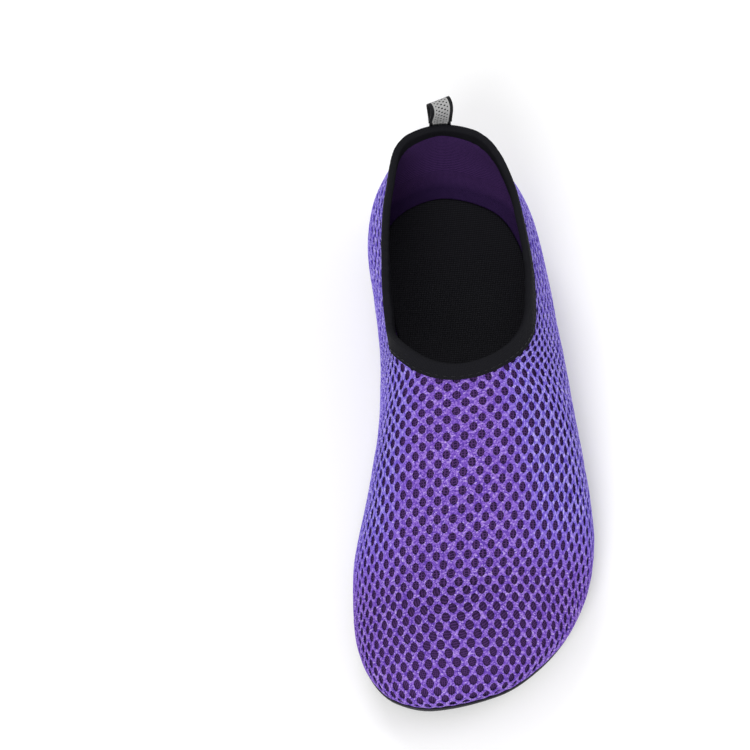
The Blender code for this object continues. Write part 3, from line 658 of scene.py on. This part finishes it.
def step_of(t, lateral):
    """Way round the shoe at a count of cuts behind the toe's centre, on one side."""
    if lateral:
        return LATERAL_FROM + t
    return (ROUND - t) % ROUND


def row_pitch(t):
    """Distance between rows of holes: closer where the net is drawn wide at the throat."""
    along = Cut.station(min(t, side_steps))
    base = toe_row + (side_row - toe_row) * eased(throat_along, sides_along, along)
    return base + (throat_row - base) * math.exp(-((along - throat_along) / throat_reach) ** 2)


def gone(t0, t1, lateral):
    """Length along one side between two counts of cuts."""
    spots = [cut_on(step_of(t, lateral)).surface(0.4, 0.0) for t in (t0, t1)]
    return (spots[1] - spots[0]).length


# Rows of holes behind the toe's centre, against the count of cuts
ROWS = [(0.0, 0.0)]
for k in range(int(SEAM_T) * 2):
    t0, t1 = k / 2, (k + 1) / 2
    length = (gone(t0, t1, True) + gone(t0, t1, False)) / 2
    ROWS.append((ROWS[-1][0] + length / row_pitch((t0 + t1) / 2), t1))


def t_of_row(row):
    for (r0, t0), (r1, t1) in zip(ROWS, ROWS[1:]):
        if row <= r1:
            return t0 + (t1 - t0) * (row - r0) / (r1 - r0)
    return SEAM_T


def down_share(column, behind=0.0):
    """How far down the wall a column lies, ahead of the throat or behind it."""
    share = abs(column) / (net_columns_lateral if column >= 0 else net_columns_medial)
    on_instep = (1 - instep_closer) * share + instep_closer * (1 - (1 - share) ** 3)
    on_side = (1 - collar_closer) * share + collar_closer * share ** 2
    return on_instep + (on_side - on_instep) * behind


def wall_height(step, turn):
    """Length up the wall of a cut, from the feather edge to a turn."""
    k = int(step * 2)
    share = step * 2 - k
    down = (1 - turn) * TURN_STEPS
    i = min(int(down), len(DOWN) - 2)
    height = 0.0
    for run, weight in ((LENGTHS[k % (2 * ROUND)], 1 - share), (LENGTHS[(k + 1) % (2 * ROUND)], share)):
        height += weight * (run[-1] - run[i] - (run[i + 1] - run[i]) * (down - i))
    return height


def bent_under(height, limit, bend):
    """The lower of two heights, with a soft bend where they meet."""
    share = min(max(0.5 + 0.5 * (limit - height) / bend, 0.0), 1.0)
    return limit + (height - limit) * share - bend * share * (1 - share)


def net_place(column, row):
    """(step, turn, beyond) of a spot of the flat net. beyond is true off the edge of the cloth.

    The middle columns are cut off by the collar in front; the others bend round it along the sides.
    """
    lateral = column >= 0
    down = down_share(column)
    if row < 0:
        across, ahead = math.copysign(down, column) * girth(step_of(0.0, lateral)), row * toe_row
        step = toe_steps * (math.atan2(ahead, across) / math.pi + 1)
        up = girth(step) - math.hypot(across, ahead)
        return step, turn_at(step, up), up < 0
    row += drawn_rows * down ** drawn_power * eased(0.0, drawn_over, row)
    t = t_of_row(row)
    step = step_of(t, lateral)
    along = Cut.station(min(t, side_steps))
    behind = eased(throat_along - throat_reach / 2, throat_along + throat_reach, along)
    collar = wall_height(step, collar_turn(step))
    kept = 1 - down_share(math.copysign(net_columns_cut, column), behind)
    up = bent_under(girth(step), collar / kept, net_bend) * (1 - down_share(column, behind))
    return step, turn_at(step, up), up < 0 or row > ROWS[-1][0] or up > collar + 0.01 * MM


def drawn_share(column, row):
    """How much the cloth is stretched along its rows there: not at all on the toe, fully on the sides."""
    along = Cut.station(min(t_of_row(max(row, 0.0)), side_steps))
    near = drawn_higher * eased(throat_along - 0.24, throat_along - 0.04, along)
    side = eased(drawn_from - near, drawn_to - near, down_share(column)) * eased(-2.0, 9.0, row)
    return max(side, eased(throat_along, throat_along + throat_reach, along))


def hole_size(column, row, step, turn):
    """Half width and half length of a hole, as shares of the lattice cell."""
    toe = 1 - eased(-4.0, 7.0, row)
    side = drawn_share(column, row) * (1 - toe)
    wide, long = (least + on_side * side + on_toe * toe for least, on_side, on_toe in (HOLE_WIDE, HOLE_LONG))
    if THROAT_LATERAL < step < THROAT_MEDIAL:
        wide -= collar_narrows * (1 - eased(0.0, 0.4, collar_turn(step) - turn))
    return wide, long


def soft_rise(step, turn):
    """The cloth's own unevenness: slack waves that die out at the sole, the seam and the collar."""
    spot = cut_on(step).surface(turn, 0.0)
    slack = noise.noise(spot * 60.0) * 0.5 + noise.noise(spot * 130.0 + Vector((5, 3, 1))) * 0.3
    firm = min(max(turn + 0.15, 0.0) / 0.3, 1.0)
    if THROAT_LATERAL < step < THROAT_MEDIAL:
        firm *= min(max(collar_turn(step) - turn, 0.0) / 0.25, 1.0)
        firm *= min(abs(step - HEEL_BACK) / 2.5, 1.0)
    elif turn > 0:
        t = min(step - LATERAL_FROM, ROUND - step) if LATERAL_FROM <= step else 0.0
        firm *= min(max((THROAT_T - t) / 2.0, 0.0) + (1 - turn) * 3, 1.0)
    return slack_rise * slack * firm


def wall_spot(across, round_share):
    return cut_on(round_share * ROUND).surface(1.0 - across * 1.5, 0.0)


# The wall as a fine form, to lay the binding and its stitches on
form = laid(64, ROUND * 4, wall_spot, 1.0, 1.0)
bmesh.ops.recalc_face_normals(form, faces=form.faces)
if sum(face.normal.z * face.calc_area() for face in form.faces) < 0:
    bmesh.ops.reverse_faces(form, faces=form.faces)
wall_form = BVHTree.FromBMesh(form)
form.free()

# The collar's edge as a line of spots, close at the throat, from there round the heel and back
EDGE_SPOTS = 300
EDGE_STEPS = [THROAT_LATERAL + (THROAT_MEDIAL - THROAT_LATERAL) * (3 * s * s - 2 * s ** 3)
              for s in (k / EDGE_SPOTS for k in range(EDGE_SPOTS + 1))]
edge_line = [cut_on(step).surface(collar_turn(step), 0.0) for step in EDGE_STEPS]
edge_run = [0.0]
for a, b in zip(edge_line, edge_line[1:]):
    edge_run.append(edge_run[-1] + (b - a).length)
EDGE_LENGTH = edge_run[-1]


def on_edge(length):
    """Spot and way of the collar's edge at a length round it."""
    length %= EDGE_LENGTH
    i = max(k for k in range(len(edge_run) - 1) if edge_run[k] <= length)
    share = (length - edge_run[i]) / (edge_run[i + 1] - edge_run[i])
    spot = edge_line[i].lerp(edge_line[i + 1], share)
    last = len(edge_line) - 1
    before = edge_line[i - 4] if i >= 4 else edge_line[last + i - 4]
    after = edge_line[i + 5] if i + 5 <= last else edge_line[i + 5 - last]
    return spot, (after - before).normalized()


# The flat lattice: x counts columns and y counts rows, and each square cell holds a hole
net = bmesh.new()
bmesh.ops.create_grid(net, x_segments=net_cells, y_segments=net_cells, size=net_cells * math.sqrt(0.5),
                      matrix=Matrix.Rotation(math.radians(45), 4, "Z"))
bmesh.ops.translate(net, vec=(0, net_middle, 0), verts=net.verts)
for vert in net.verts:
    vert.co.x, vert.co.y = round(vert.co.x), round(vert.co.y)
net_places = {}
drawn = net.verts.layers.float.new("drawn")


def placed(co):
    """The place on the last of a spot of the lattice, worked out once for each."""
    key = (round(co.x, 4), round(co.y, 4))
    if key not in net_places:
        net_places[key] = net_place(*key)
    return net_places[key]


beyond = []
for face in net.faces:
    centre = face.calc_center_median()
    on_columns = -net_columns_medial - 1 <= centre.x <= net_columns_lateral + 1
    on_rows = -toe_rows <= centre.y <= ROWS[-1][0] + 1
    if not on_columns or not on_rows or placed(centre)[2]:
        beyond.append(face)
bmesh.ops.delete(net, geom=beyond, context="FACES")
uv = net.loops.layers.uv.new("cloth")
holes = net.faces[:]
bmesh.ops.inset_individual(net, faces=holes, thickness=0.2)
for face in holes:
    centre = face.calc_center_median()
    step, turn, _ = placed(centre)
    wide, long = hole_size(centre.x, centre.y, step, turn)
    vary = 1 + 0.09 * noise.noise(centre * 0.9)
    for vert in face.verts:
        way = (vert.co - centre).normalized()
        vert.co = centre + Vector((way.x * wide * vary, way.y * long * vary, 0))
# The rims of the holes lie a little lower than the knots, and the under side meets them there
rims = {vert for face in holes for vert in face.verts}
bmesh.ops.delete(net, geom=holes, context="FACES_ONLY")
for vert in rims:
    vert.co.z = -rim_depth
under = bmesh.ops.extrude_face_region(net, geom=net.faces[:])["geom"]
for vert in under:
    if isinstance(vert, bmesh.types.BMVert) and vert.co.z == 0.0:
        vert.co.z = -1.0
bmesh.ops.remove_doubles(net, verts=net.verts, dist=0.001)
for face in net.faces:
    for loop in face.loops:
        column, row = loop.vert.co.xy
        loop[uv].uv = (math.copysign(down_share(column), column) * net_width / MM, row * toe_row / MM)
# Laid on the last. What reaches past the collar is drawn in to its edge, under the binding
for vert in net.verts:
    offset = net_proud + vert.co.z * net_thickness
    step, turn, off = placed(vert.co)
    turn = max(turn, -0.98)
    edge = collar_turn(step)
    # The drawn share also picks the net's darker sides colour below, which is painted shade on the walls.
    vert[drawn] = drawn_share(vert.co.x, vert.co.y)
    if off and THROAT_LATERAL <= step <= THROAT_MEDIAL and turn > edge:
        spot = cut_on(step).surface(turn, 0.0)
        nearest = min(range(len(edge_line)), key=lambda k: (edge_line[k] - spot).length_squared)
        step = EDGE_STEPS[nearest]
        vert.co = cut_on(step).surface(collar_turn(step), offset)
    else:
        vert.co = cut_on(step).surface(turn, offset + soft_rise(step, turn))
bmesh.ops.recalc_face_normals(net, faces=net.faces)

yarn, tree, shader = finish("violet_net", (0.22, 0.14, 0.54), 0.6, Sheen_Weight=0.04, Sheen_Roughness=0.4,
                            Specular_IOR_Level=0.12)
cloth = node(tree, "ShaderNodeUVMap", uv_map="cloth").outputs["UV"]
pulled_and_shaded = node(tree, "ShaderNodeAttribute", attribute_name="drawn").outputs["Fac"]
loops = node(tree, "ShaderNodeTexVoronoi", {"Vector": cloth, "Scale": 2.1}, voronoi_dimensions="2D")
specks = node(tree, "ShaderNodeSeparateColor", {"Color": loops.outputs["Color"]}).outputs["Red"]
along_strand = node(tree, "ShaderNodeMapping", {"Vector": cloth, "Scale": (2.6, 0.42, 1.0)})
streaks = node(tree, "ShaderNodeTexNoise", {"Vector": along_strand.outputs["Vector"], "Scale": 1.0,
                                            "Detail": 3.0, "Roughness": 0.6}).outputs["Fac"]
streaks = maths(tree, "MULTIPLY_ADD", maths(tree, "SUBTRACT", streaks, 0.5), 2.7)
streaks = maths(tree, "ADD", streaks, 0.40)
mottle = node(tree, "ShaderNodeTexNoise", {"Vector": cloth, "Scale": 0.9, "Detail": 3.0}).outputs["Fac"]
kept = maths(tree, "SUBTRACT", 1.0, pulled_and_shaded)
tone = maths(tree, "ADD", maths(tree, "MULTIPLY", specks, kept), maths(tree, "MULTIPLY", streaks, pulled_and_shaded))
tone = maths(tree, "ADD", maths(tree, "MULTIPLY", tone, 0.72), maths(tree, "MULTIPLY", mottle, 0.30), True)
# Two colour ramps of the same yarn. The sides ramp is a darker copy of the instep ramp: painted shade on the
# walls that face away from the light, mixed in where the net is drawn long. The specks, streaks and mottling
# vary the yarn's tone. The lightest stops of both ramps are painted highlights, the glints of the yarn, and
# the streaks along the drawn strands reach them most.
instep = ramp(tree, tone, ((0.05, (0.060, 0.020, 0.30)), (0.45, (0.185, 0.078, 0.51)),
                           (0.76, (0.34, 0.19, 0.71)), (0.99, (0.68, 0.54, 0.94))))
sides = ramp(tree, tone, ((0.05, (0.024, 0.009, 0.22)), (0.45, (0.076, 0.038, 0.42)),
                          (0.76, (0.175, 0.112, 0.64)), (0.99, (0.48, 0.40, 0.94))))
shade = node(tree, "ShaderNodeMix", {0: pulled_and_shaded, 6: instep, 7: sides}, data_type="RGBA").outputs[2]
tree.links.new(shade, shader.inputs["Base Color"])
twist = node(tree, "ShaderNodeTexWave", {"Vector": cloth, "Scale": 0.42, "Distortion": 1.5, "Detail": 1.0},
             bands_direction="DIAGONAL").outputs["Fac"]
height = maths(tree, "SUBTRACT", maths(tree, "MULTIPLY", twist, maths(tree, "MULTIPLY", pulled_and_shaded, 0.8)),
               maths(tree, "MULTIPLY", loops.outputs["Distance"], kept))
bumped(tree, shader, height, 0.0003, 0.9)

upper_net = made("upper_net", net, yarn)
rounding = upper_net.modifiers.new("round_strands", "SUBSURF")
rounding.levels = rounding.render_levels = 1
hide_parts("upper")

# Lining. A thin dark violet tulle behind the net, closed at the heel and turned in under the insole.
# It is stitched into the collar binding. Its colour is painted shade for the holes of the net, with painted
# light over the instep and the upper wall.
lining_face = -1.28 * MM
lining_thickness = 0.3 * MM
lining_short = 1.0 * MM
wall_share = 0.93
# Millimetres down the lining from which its painted shade is full; the painted light fades out above it.
shaded_from = 46.0


def lining_spot(across, round_share):
    """From the collar's edge, or the spine ahead of the throat, down the wall and in under the foot."""
    step = round_share * ROUND
    cut, edge = cut_on(step), collar_turn(step)
    if across > wall_share:
        inward = (across - wall_share) / (1 - wall_share) * (lasting_margin - lining_short)
        foot = cut.below(1.0, lining_face)
        return foot - Vector((cut.direction.x, cut.direction.y, 0)) * inward
    turn = edge - (across / wall_share) * (edge + 1.0)
    return cut.surface(turn, lining_face + soft_rise(step, turn))


tulle, tree, shader = finish("dark_tulle_painted_shade", (0.012, 0.006, 0.05), 0.8, Specular_IOR_Level=0.1)
cloth = node(tree, "ShaderNodeUVMap", uv_map="cloth").outputs["UV"]
# Painted light and shade: lit is 1 down to about 28 mm below the collar or the spine and 0 from shaded_from
# down. The upper wall and the instep are painted lighter and the lower walls darker. The pores are painted
# dark as the shade seen through them, and the threads lighter.
down = node(tree, "ShaderNodeSeparateXYZ", {"Vector": cloth}).outputs["X"]
lit = maths(tree, "MULTIPLY", maths(tree, "SUBTRACT", shaded_from, down), 0.055, True)
pores = node(tree, "ShaderNodeTexVoronoi", {"Vector": cloth, "Scale": 1.35, "Randomness": 0.3},
             voronoi_dimensions="2D", feature="DISTANCE_TO_EDGE").outputs["Distance"]
mesh = maths(tree, "SUBTRACT", 1.0, maths(tree, "MULTIPLY", pores, 4.0, True))
mesh = maths(tree, "MULTIPLY", mesh, maths(tree, "MULTIPLY_ADD", lit, 0.65))
shade = ramp(tree, maths(tree, "ADD", mesh, maths(tree, "MULTIPLY", lit, 0.12)),
             ((0.0, (0.004, 0.002, 0.024)), (0.75, (0.105, 0.043, 0.19))))
tree.links.new(shade, shader.inputs["Base Color"])
bumped(tree, shader, mesh, 0.0002, 0.7)

sock = laid(30, ROUND * 3, lining_spot, 90 * MM, 560 * MM)
bmesh.ops.recalc_face_normals(sock, faces=sock.faces)
upper_faces = [face for face in sock.faces if face.calc_center_median().z > 20 * MM]
if sum(face.normal.z * face.calc_area() for face in upper_faces) < 0:
    bmesh.ops.reverse_faces(sock, faces=sock.faces)
bmesh.ops.solidify(sock, geom=sock.faces[:], thickness=lining_thickness)
made("upper_lining", sock, tulle)

# Collar binding. Black ribbed elastic tape folded over the collar's edge and closed with a row of
# lockstitch near its lower edge, which holds the net and the lining.
binding_thickness = 0.7 * MM
binding_outside = 5.8 * MM
binding_inside = 5.0 * MM
binding_out = 0.75 * MM
binding_ply = 0.5 * MM
rib_pitch = 0.58 * MM
stitch_length = 2.3 * MM
stitch_pitch = 2.9 * MM
stitch_up = 1.3 * MM
thread_proud = 0.02 * MM
thread_radius = 0.24 * MM


def wall_below(length, distance, offset):
    """A spot on the wall at a distance below the collar's edge, an offset off its outer face."""
    spot, way = on_edge(length)
    normal = wall_form.find_nearest(spot)[1]
    pieces = 4
    for _ in range(pieces):
        down = way.cross(normal).normalized()
        spot, normal = wall_form.find_nearest(spot + down * (distance / pieces))[:2]
    return spot + normal * offset, normal


FOLD_ROUND = 300
FOLD_PATH = ([("outside", 1 - k / 8) for k in range(9)] + [("fold", k / 8) for k in range(1, 8)]
             + [("inside", k / 6) for k in range(7)])
fold_rings = []
for k in range(FOLD_ROUND):
    length = EDGE_LENGTH * k / FOLD_ROUND
    spot, way = on_edge(length)
    rise = (spot - wall_below(length, 1.5 * MM, 0.0)[0]).normalized()
    faces = []
    for depth in (0.0, binding_ply):
        proud = binding_out - depth
        high = wall_below(length, 0.0, proud)[0]
        low = wall_below(length, 0.0, -wall - proud)[0]
        path = []
        for part, share in FOLD_PATH:
            if part == "outside":
                path.append(wall_below(length, binding_outside * share, proud)[0])
            elif part == "inside":
                path.append(wall_below(length, binding_inside * share, -wall - proud)[0])
            else:
                angle = math.pi * share
                path.append((high + low) / 2 + (high - low) / 2 * math.cos(angle)
                            + rise * (proud * 1.1 * math.sin(angle)))
        faces.append(path)
    fold_rings.append(faces[0] + faces[1][::-1] + [faces[0][0]])


def fold_spot(across, along):
    return fold_rings[round(along * FOLD_ROUND) % FOLD_ROUND][round(across * (len(fold_rings[0]) - 1))]


elastic, tree, shader = finish("ribbed_elastic", (0.012, 0.012, 0.015), 0.7, Specular_IOR_Level=0.05)
cloth = node(tree, "ShaderNodeUVMap", uv_map="cloth").outputs["UV"]
parts = node(tree, "ShaderNodeSeparateXYZ", {"Vector": cloth})
ribs = maths(tree, "SINE", maths(tree, "MULTIPLY", parts.outputs["Y"], 2 * math.pi / (rib_pitch / MM)))
knots = maths(tree, "SINE", maths(tree, "MULTIPLY", parts.outputs["X"], 2 * math.pi / 0.9))
face = maths(tree, "MULTIPLY_ADD", ribs, 0.5)
weave = maths(tree, "ADD", face, maths(tree, "MULTIPLY", knots, 0.12))
# The colour follows the ribs' height: darker in the grooves between them, which is painted shade.
shade = ramp(tree, maths(tree, "ADD", weave, 0.5),
             ((0.0, (0.003, 0.003, 0.004)), (0.9, (0.012, 0.012, 0.015))))
tree.links.new(shade, shader.inputs["Base Color"])
bumped(tree, shader, weave, 0.00016, 0.9)

fold = laid(len(fold_rings[0]) - 1, FOLD_ROUND, fold_spot, 33 * MM, EDGE_LENGTH)
bmesh.ops.recalc_face_normals(fold, faces=fold.faces)
binding = made("collar_tape", fold, elastic)
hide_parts("collar_binding")

thread, tree, shader = finish("black_thread", (0.008, 0.008, 0.010), 0.5, Specular_IOR_Level=0.25)
where = node(tree, "ShaderNodeTexCoord").outputs["Object"]
twist = node(tree, "ShaderNodeTexWave", {"Vector": where, "Scale": 1500.0}, bands_direction="DIAGONAL")
bumped(tree, shader, twist.outputs["Fac"], 0.00005, 0.8)


def sew(bm, spot, way, normal):
    """One stitch: a short thread lying on the cloth, its ends sunk into it."""
    side = normal.cross(way).normalized()
    seat = Matrix((way, side, normal)).transposed().to_4x4()
    seat.translation = spot
    stitch = bmesh.ops.create_uvsphere(bm, u_segments=8, v_segments=6, radius=1.0)["verts"]
    bmesh.ops.scale(bm, vec=(stitch_length / 2, thread_radius, thread_radius), verts=stitch)
    bmesh.ops.transform(bm, matrix=seat, verts=stitch)


seam = bmesh.new()
stitch_count = int(EDGE_LENGTH / stitch_pitch)
for k in range(stitch_count):
    length = EDGE_LENGTH * (k + 0.5) / stitch_count
    spot, normal = wall_below(length, binding_outside - stitch_up, binding_out + thread_proud)
    following = wall_below(length + 0.5 * MM, binding_outside - stitch_up, binding_out + thread_proud)[0]
    sew(seam, spot, (following - spot).normalized(), normal)
made("binding_stitches", seam, thread)

# Heel tape and pull loop. White webbing with black edges, sewn down the back seam from the collar
# to the sole; above the collar it is folded into a loop to pull the shoe on with.
tape_width = 9.8 * MM
tape_thickness = 1.1 * MM
tape_length = 62.0 * MM
tape_face = 0.9 * MM
tape_ply = 0.85 * MM
tape_crown = 0.12 * MM
loop_height = 14.0 * MM
loop_width = 7.4 * MM
loop_length = 42.0 * MM
loop_ply = 0.5 * MM
plies_over = 7.0 * MM
loop_lean = math.radians(4.0)
loop_twist = math.radians(24.0)
heel_cut = cut_on(HEEL_BACK)
heel_edge = collar_turn(HEEL_BACK)
heel_rise = (heel_cut.surface(heel_edge, 0.0) - heel_cut.surface(heel_edge - 0.05, 0.0)).length / 0.05
over_binding = 2 * gap + binding_thickness
binding_foot = heel_edge - (binding_outside + gap) / heel_rise
ramp_foot = binding_foot - 2.5 * tape_thickness / heel_rise
tape_half = math.asin(tape_width / 2 / heel_cut.radius) / (math.pi / heel_steps)
tape_rows = [(-1.0 + k / 6, gap) for k in range(6)]
tape_rows += [(ramp_foot * k / 14, gap) for k in range(15)]
for k in range(1, 5):
    share = k / 4
    tape_rows.append((ramp_foot + (binding_foot - ramp_foot) * share,
                      gap + (over_binding - gap) * (0.5 - 0.5 * math.cos(math.pi * share))))
tape_rows += [(binding_foot + (heel_edge - binding_foot) * k / 4, over_binding) for k in range(1, 5)]


def tape_spot(across, along):
    position = along * (len(tape_rows) - 1)
    turn, offset = tape_rows[round(position)]
    if turn < 0:
        turn *= heel_cut.below_turn(rim_rise + gap, offset)
    crown = tape_crown * (1 - (2 * across - 1) ** 4)
    return cut_on(HEEL_BACK + (2 * across - 1) * tape_half).surface(turn, offset + tape_face + crown)


# The webbing's pattern, in its own millimetres: black edges, and staggered dots of black thread
dark_edge_from = 3.45
dots_within = 2.7
dot_pitch = 1.3
dot_limit = 1.40
pick_pitch = 0.52
end_pitch = 0.7
webbing, tree, shader = finish("white_webbing", (0.85, 0.85, 0.84), 0.7, Specular_IOR_Level=0.2)
cloth = node(tree, "ShaderNodeUVMap", uv_map="cloth").outputs["UV"]
parts = node(tree, "ShaderNodeSeparateXYZ", {"Vector": cloth})
across, along = parts.outputs["X"], parts.outputs["Y"]
from_middle = maths(tree, "ABSOLUTE", maths(tree, "SUBTRACT", across, tape_width / MM / 2))
edge_band = maths(tree, "GREATER_THAN", from_middle, dark_edge_from)
wave_x = maths(tree, "COSINE", maths(tree, "MULTIPLY", from_middle, math.pi / dot_pitch))
wave_y = maths(tree, "COSINE", maths(tree, "MULTIPLY", along, math.pi / dot_pitch))
dots = maths(tree, "GREATER_THAN", maths(tree, "ABSOLUTE", maths(tree, "ADD", wave_x, wave_y)), dot_limit)
dots = maths(tree, "MULTIPLY", dots, maths(tree, "LESS_THAN", from_middle, dots_within))
dark = maths(tree, "MAXIMUM", edge_band, dots, True)
picks = maths(tree, "SINE", maths(tree, "MULTIPLY", along, 2 * math.pi / pick_pitch))
ends = maths(tree, "SINE", maths(tree, "MULTIPLY", across, 2 * math.pi / end_pitch))
weave = maths(tree, "MULTIPLY", picks, ends)
picks_tone = maths(tree, "MULTIPLY_ADD", weave, 0.06)
shade = ramp(tree, maths(tree, "ADD", dark, picks_tone, True),
             ((0.0, (0.93, 0.93, 0.92)), (0.07, (0.84, 0.84, 0.83)), (0.93, (0.012, 0.012, 0.015)),
              (1.0, (0.009, 0.009, 0.011))))
tree.links.new(shade, shader.inputs["Base Color"])
bumped(tree, shader, weave, 0.00005, 0.8)

strip = laid(16, len(tape_rows) - 1, tape_spot, tape_width, tape_length)
bmesh.ops.recalc_face_normals(strip, faces=strip.faces)
if sum(face.normal.y for face in strip.faces) < 0:
    bmesh.ops.reverse_faces(strip, faces=strip.faces)
bmesh.ops.solidify(strip, geom=strip.faces[:], thickness=tape_ply)
heel_tape = made("heel_tape", strip, webbing)

ring_ends = [cut_on(HEEL_BACK + side * tape_half).surface(heel_edge, over_binding + out)
             for out in (tape_thickness, 0.0) for side in (1, 0, -1)]
loop_foot = sum(ring_ends, Vector()) / 6
loop_up = Vector((0.0, math.sin(loop_lean), math.cos(loop_lean)))
loop_back = Vector((0.0, math.cos(loop_lean), -math.sin(loop_lean)))
LOOP_STEPS = 56


def loop_spot(across, along):
    """The folded loop: up one side, over the top and down the other, turning as it rises."""
    angle = 2 * math.pi * along
    height = 0.4 * MM + (loop_height - 1.0 * MM) * (0.5 - 0.5 * math.cos(angle))
    bulge = 0.61 * (loop_width - tape_thickness) * math.sin(angle) * math.sin(angle / 2) ** 1.3
    plies = 0.56 * MM * max(0.0, 1 - height / plies_over)
    bulge += plies if angle < math.pi else -plies
    twist = loop_twist * min(height / loop_height, 1.0)
    side = (across - 0.5) * tape_width
    spot_x = side * math.cos(twist) - bulge * math.sin(twist)
    spot_y = side * math.sin(twist) + bulge * math.cos(twist)
    return loop_foot + Vector((spot_x, 0.0, 0.0)) + loop_back * spot_y + loop_up * height


bow = laid(12, LOOP_STEPS, loop_spot, tape_width, loop_length)
bmesh.ops.recalc_face_normals(bow, faces=bow.faces)
bmesh.ops.solidify(bow, geom=bow.faces[:], thickness=loop_ply)
pull_loop = made("pull_loop", bow, webbing)
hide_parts("heel_pull_loop")
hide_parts("heel_pull_loop")

tape_seam = bmesh.new()
seam_at = 0.86
seam_top = 2.2 * MM
seam_face = 0.95 * MM
most_stitches = 19
for side in (-seam_at, seam_at):
    for k in range(most_stitches):
        turn = heel_edge - seam_top / heel_rise - k * stitch_pitch / heel_rise
        if turn < 0.02:
            break
        offset = gap if turn < ramp_foot else over_binding
        if ramp_foot <= turn < binding_foot:
            share = (turn - ramp_foot) / (binding_foot - ramp_foot)
            offset = gap + (over_binding - gap) * (0.5 - 0.5 * math.cos(math.pi * share))
        cut = cut_on(HEEL_BACK + side * tape_half)
        spot = cut.surface(turn, offset + seam_face)
        way = (cut.surface(turn + 0.02, offset + seam_face) - spot).normalized()
        sew(tape_seam, spot, way, Vector((cut.direction.x, cut.direction.y, 0.2)).normalized())
made("tape_stitches", tape_seam, thread)

# Floor and light: a plain white floor with wide soft lamps.
floor_bm = bmesh.new()
bmesh.ops.create_grid(floor_bm, x_segments=1, y_segments=1, size=4.0)
floor_mesh = bpy.data.meshes.new("floor")
floor_bm.to_mesh(floor_mesh)
floor_bm.free()
floor = bpy.data.objects.new("floor", floor_mesh)
bpy.context.scene.collection.objects.link(floor)
paper = finish("white_paper", (0.96, 0.96, 0.96), 0.9, Emission_Color=(1.0, 1.0, 1.0, 1.0),
               Emission_Strength=0.10)[0]
floor_mesh.materials.append(paper)

world = bpy.data.worlds.new("studio")
world.use_nodes = True
background = world.node_tree.nodes["Background"]
background.inputs["Color"].default_value = (1.0, 1.0, 1.0, 1.0)
background.inputs["Strength"].default_value = 0.56
bpy.context.scene.world = world
# Name, place, width and power of each lamp
LAMPS = (("key", (-0.4, -1.2, 1.05), 0.8, 14.0), ("side", (1.1, 0.2, 0.9), 0.9, 3.0),
         ("back", (-0.3, 1.1, 1.0), 0.8, 6.0))
for name, spot, size, power in LAMPS:
    lamp = bpy.data.lights.new(name, "AREA")
    lamp.shape = "DISK"
    lamp.size = size
    lamp.energy = power
    holder = bpy.data.objects.new(name, lamp)
    holder.location = spot
    holder.rotation_euler = (Vector((0, 0, 0.03)) - Vector(spot)).to_track_quat("-Z", "Y").to_euler()
    bpy.context.scene.collection.objects.link(holder)
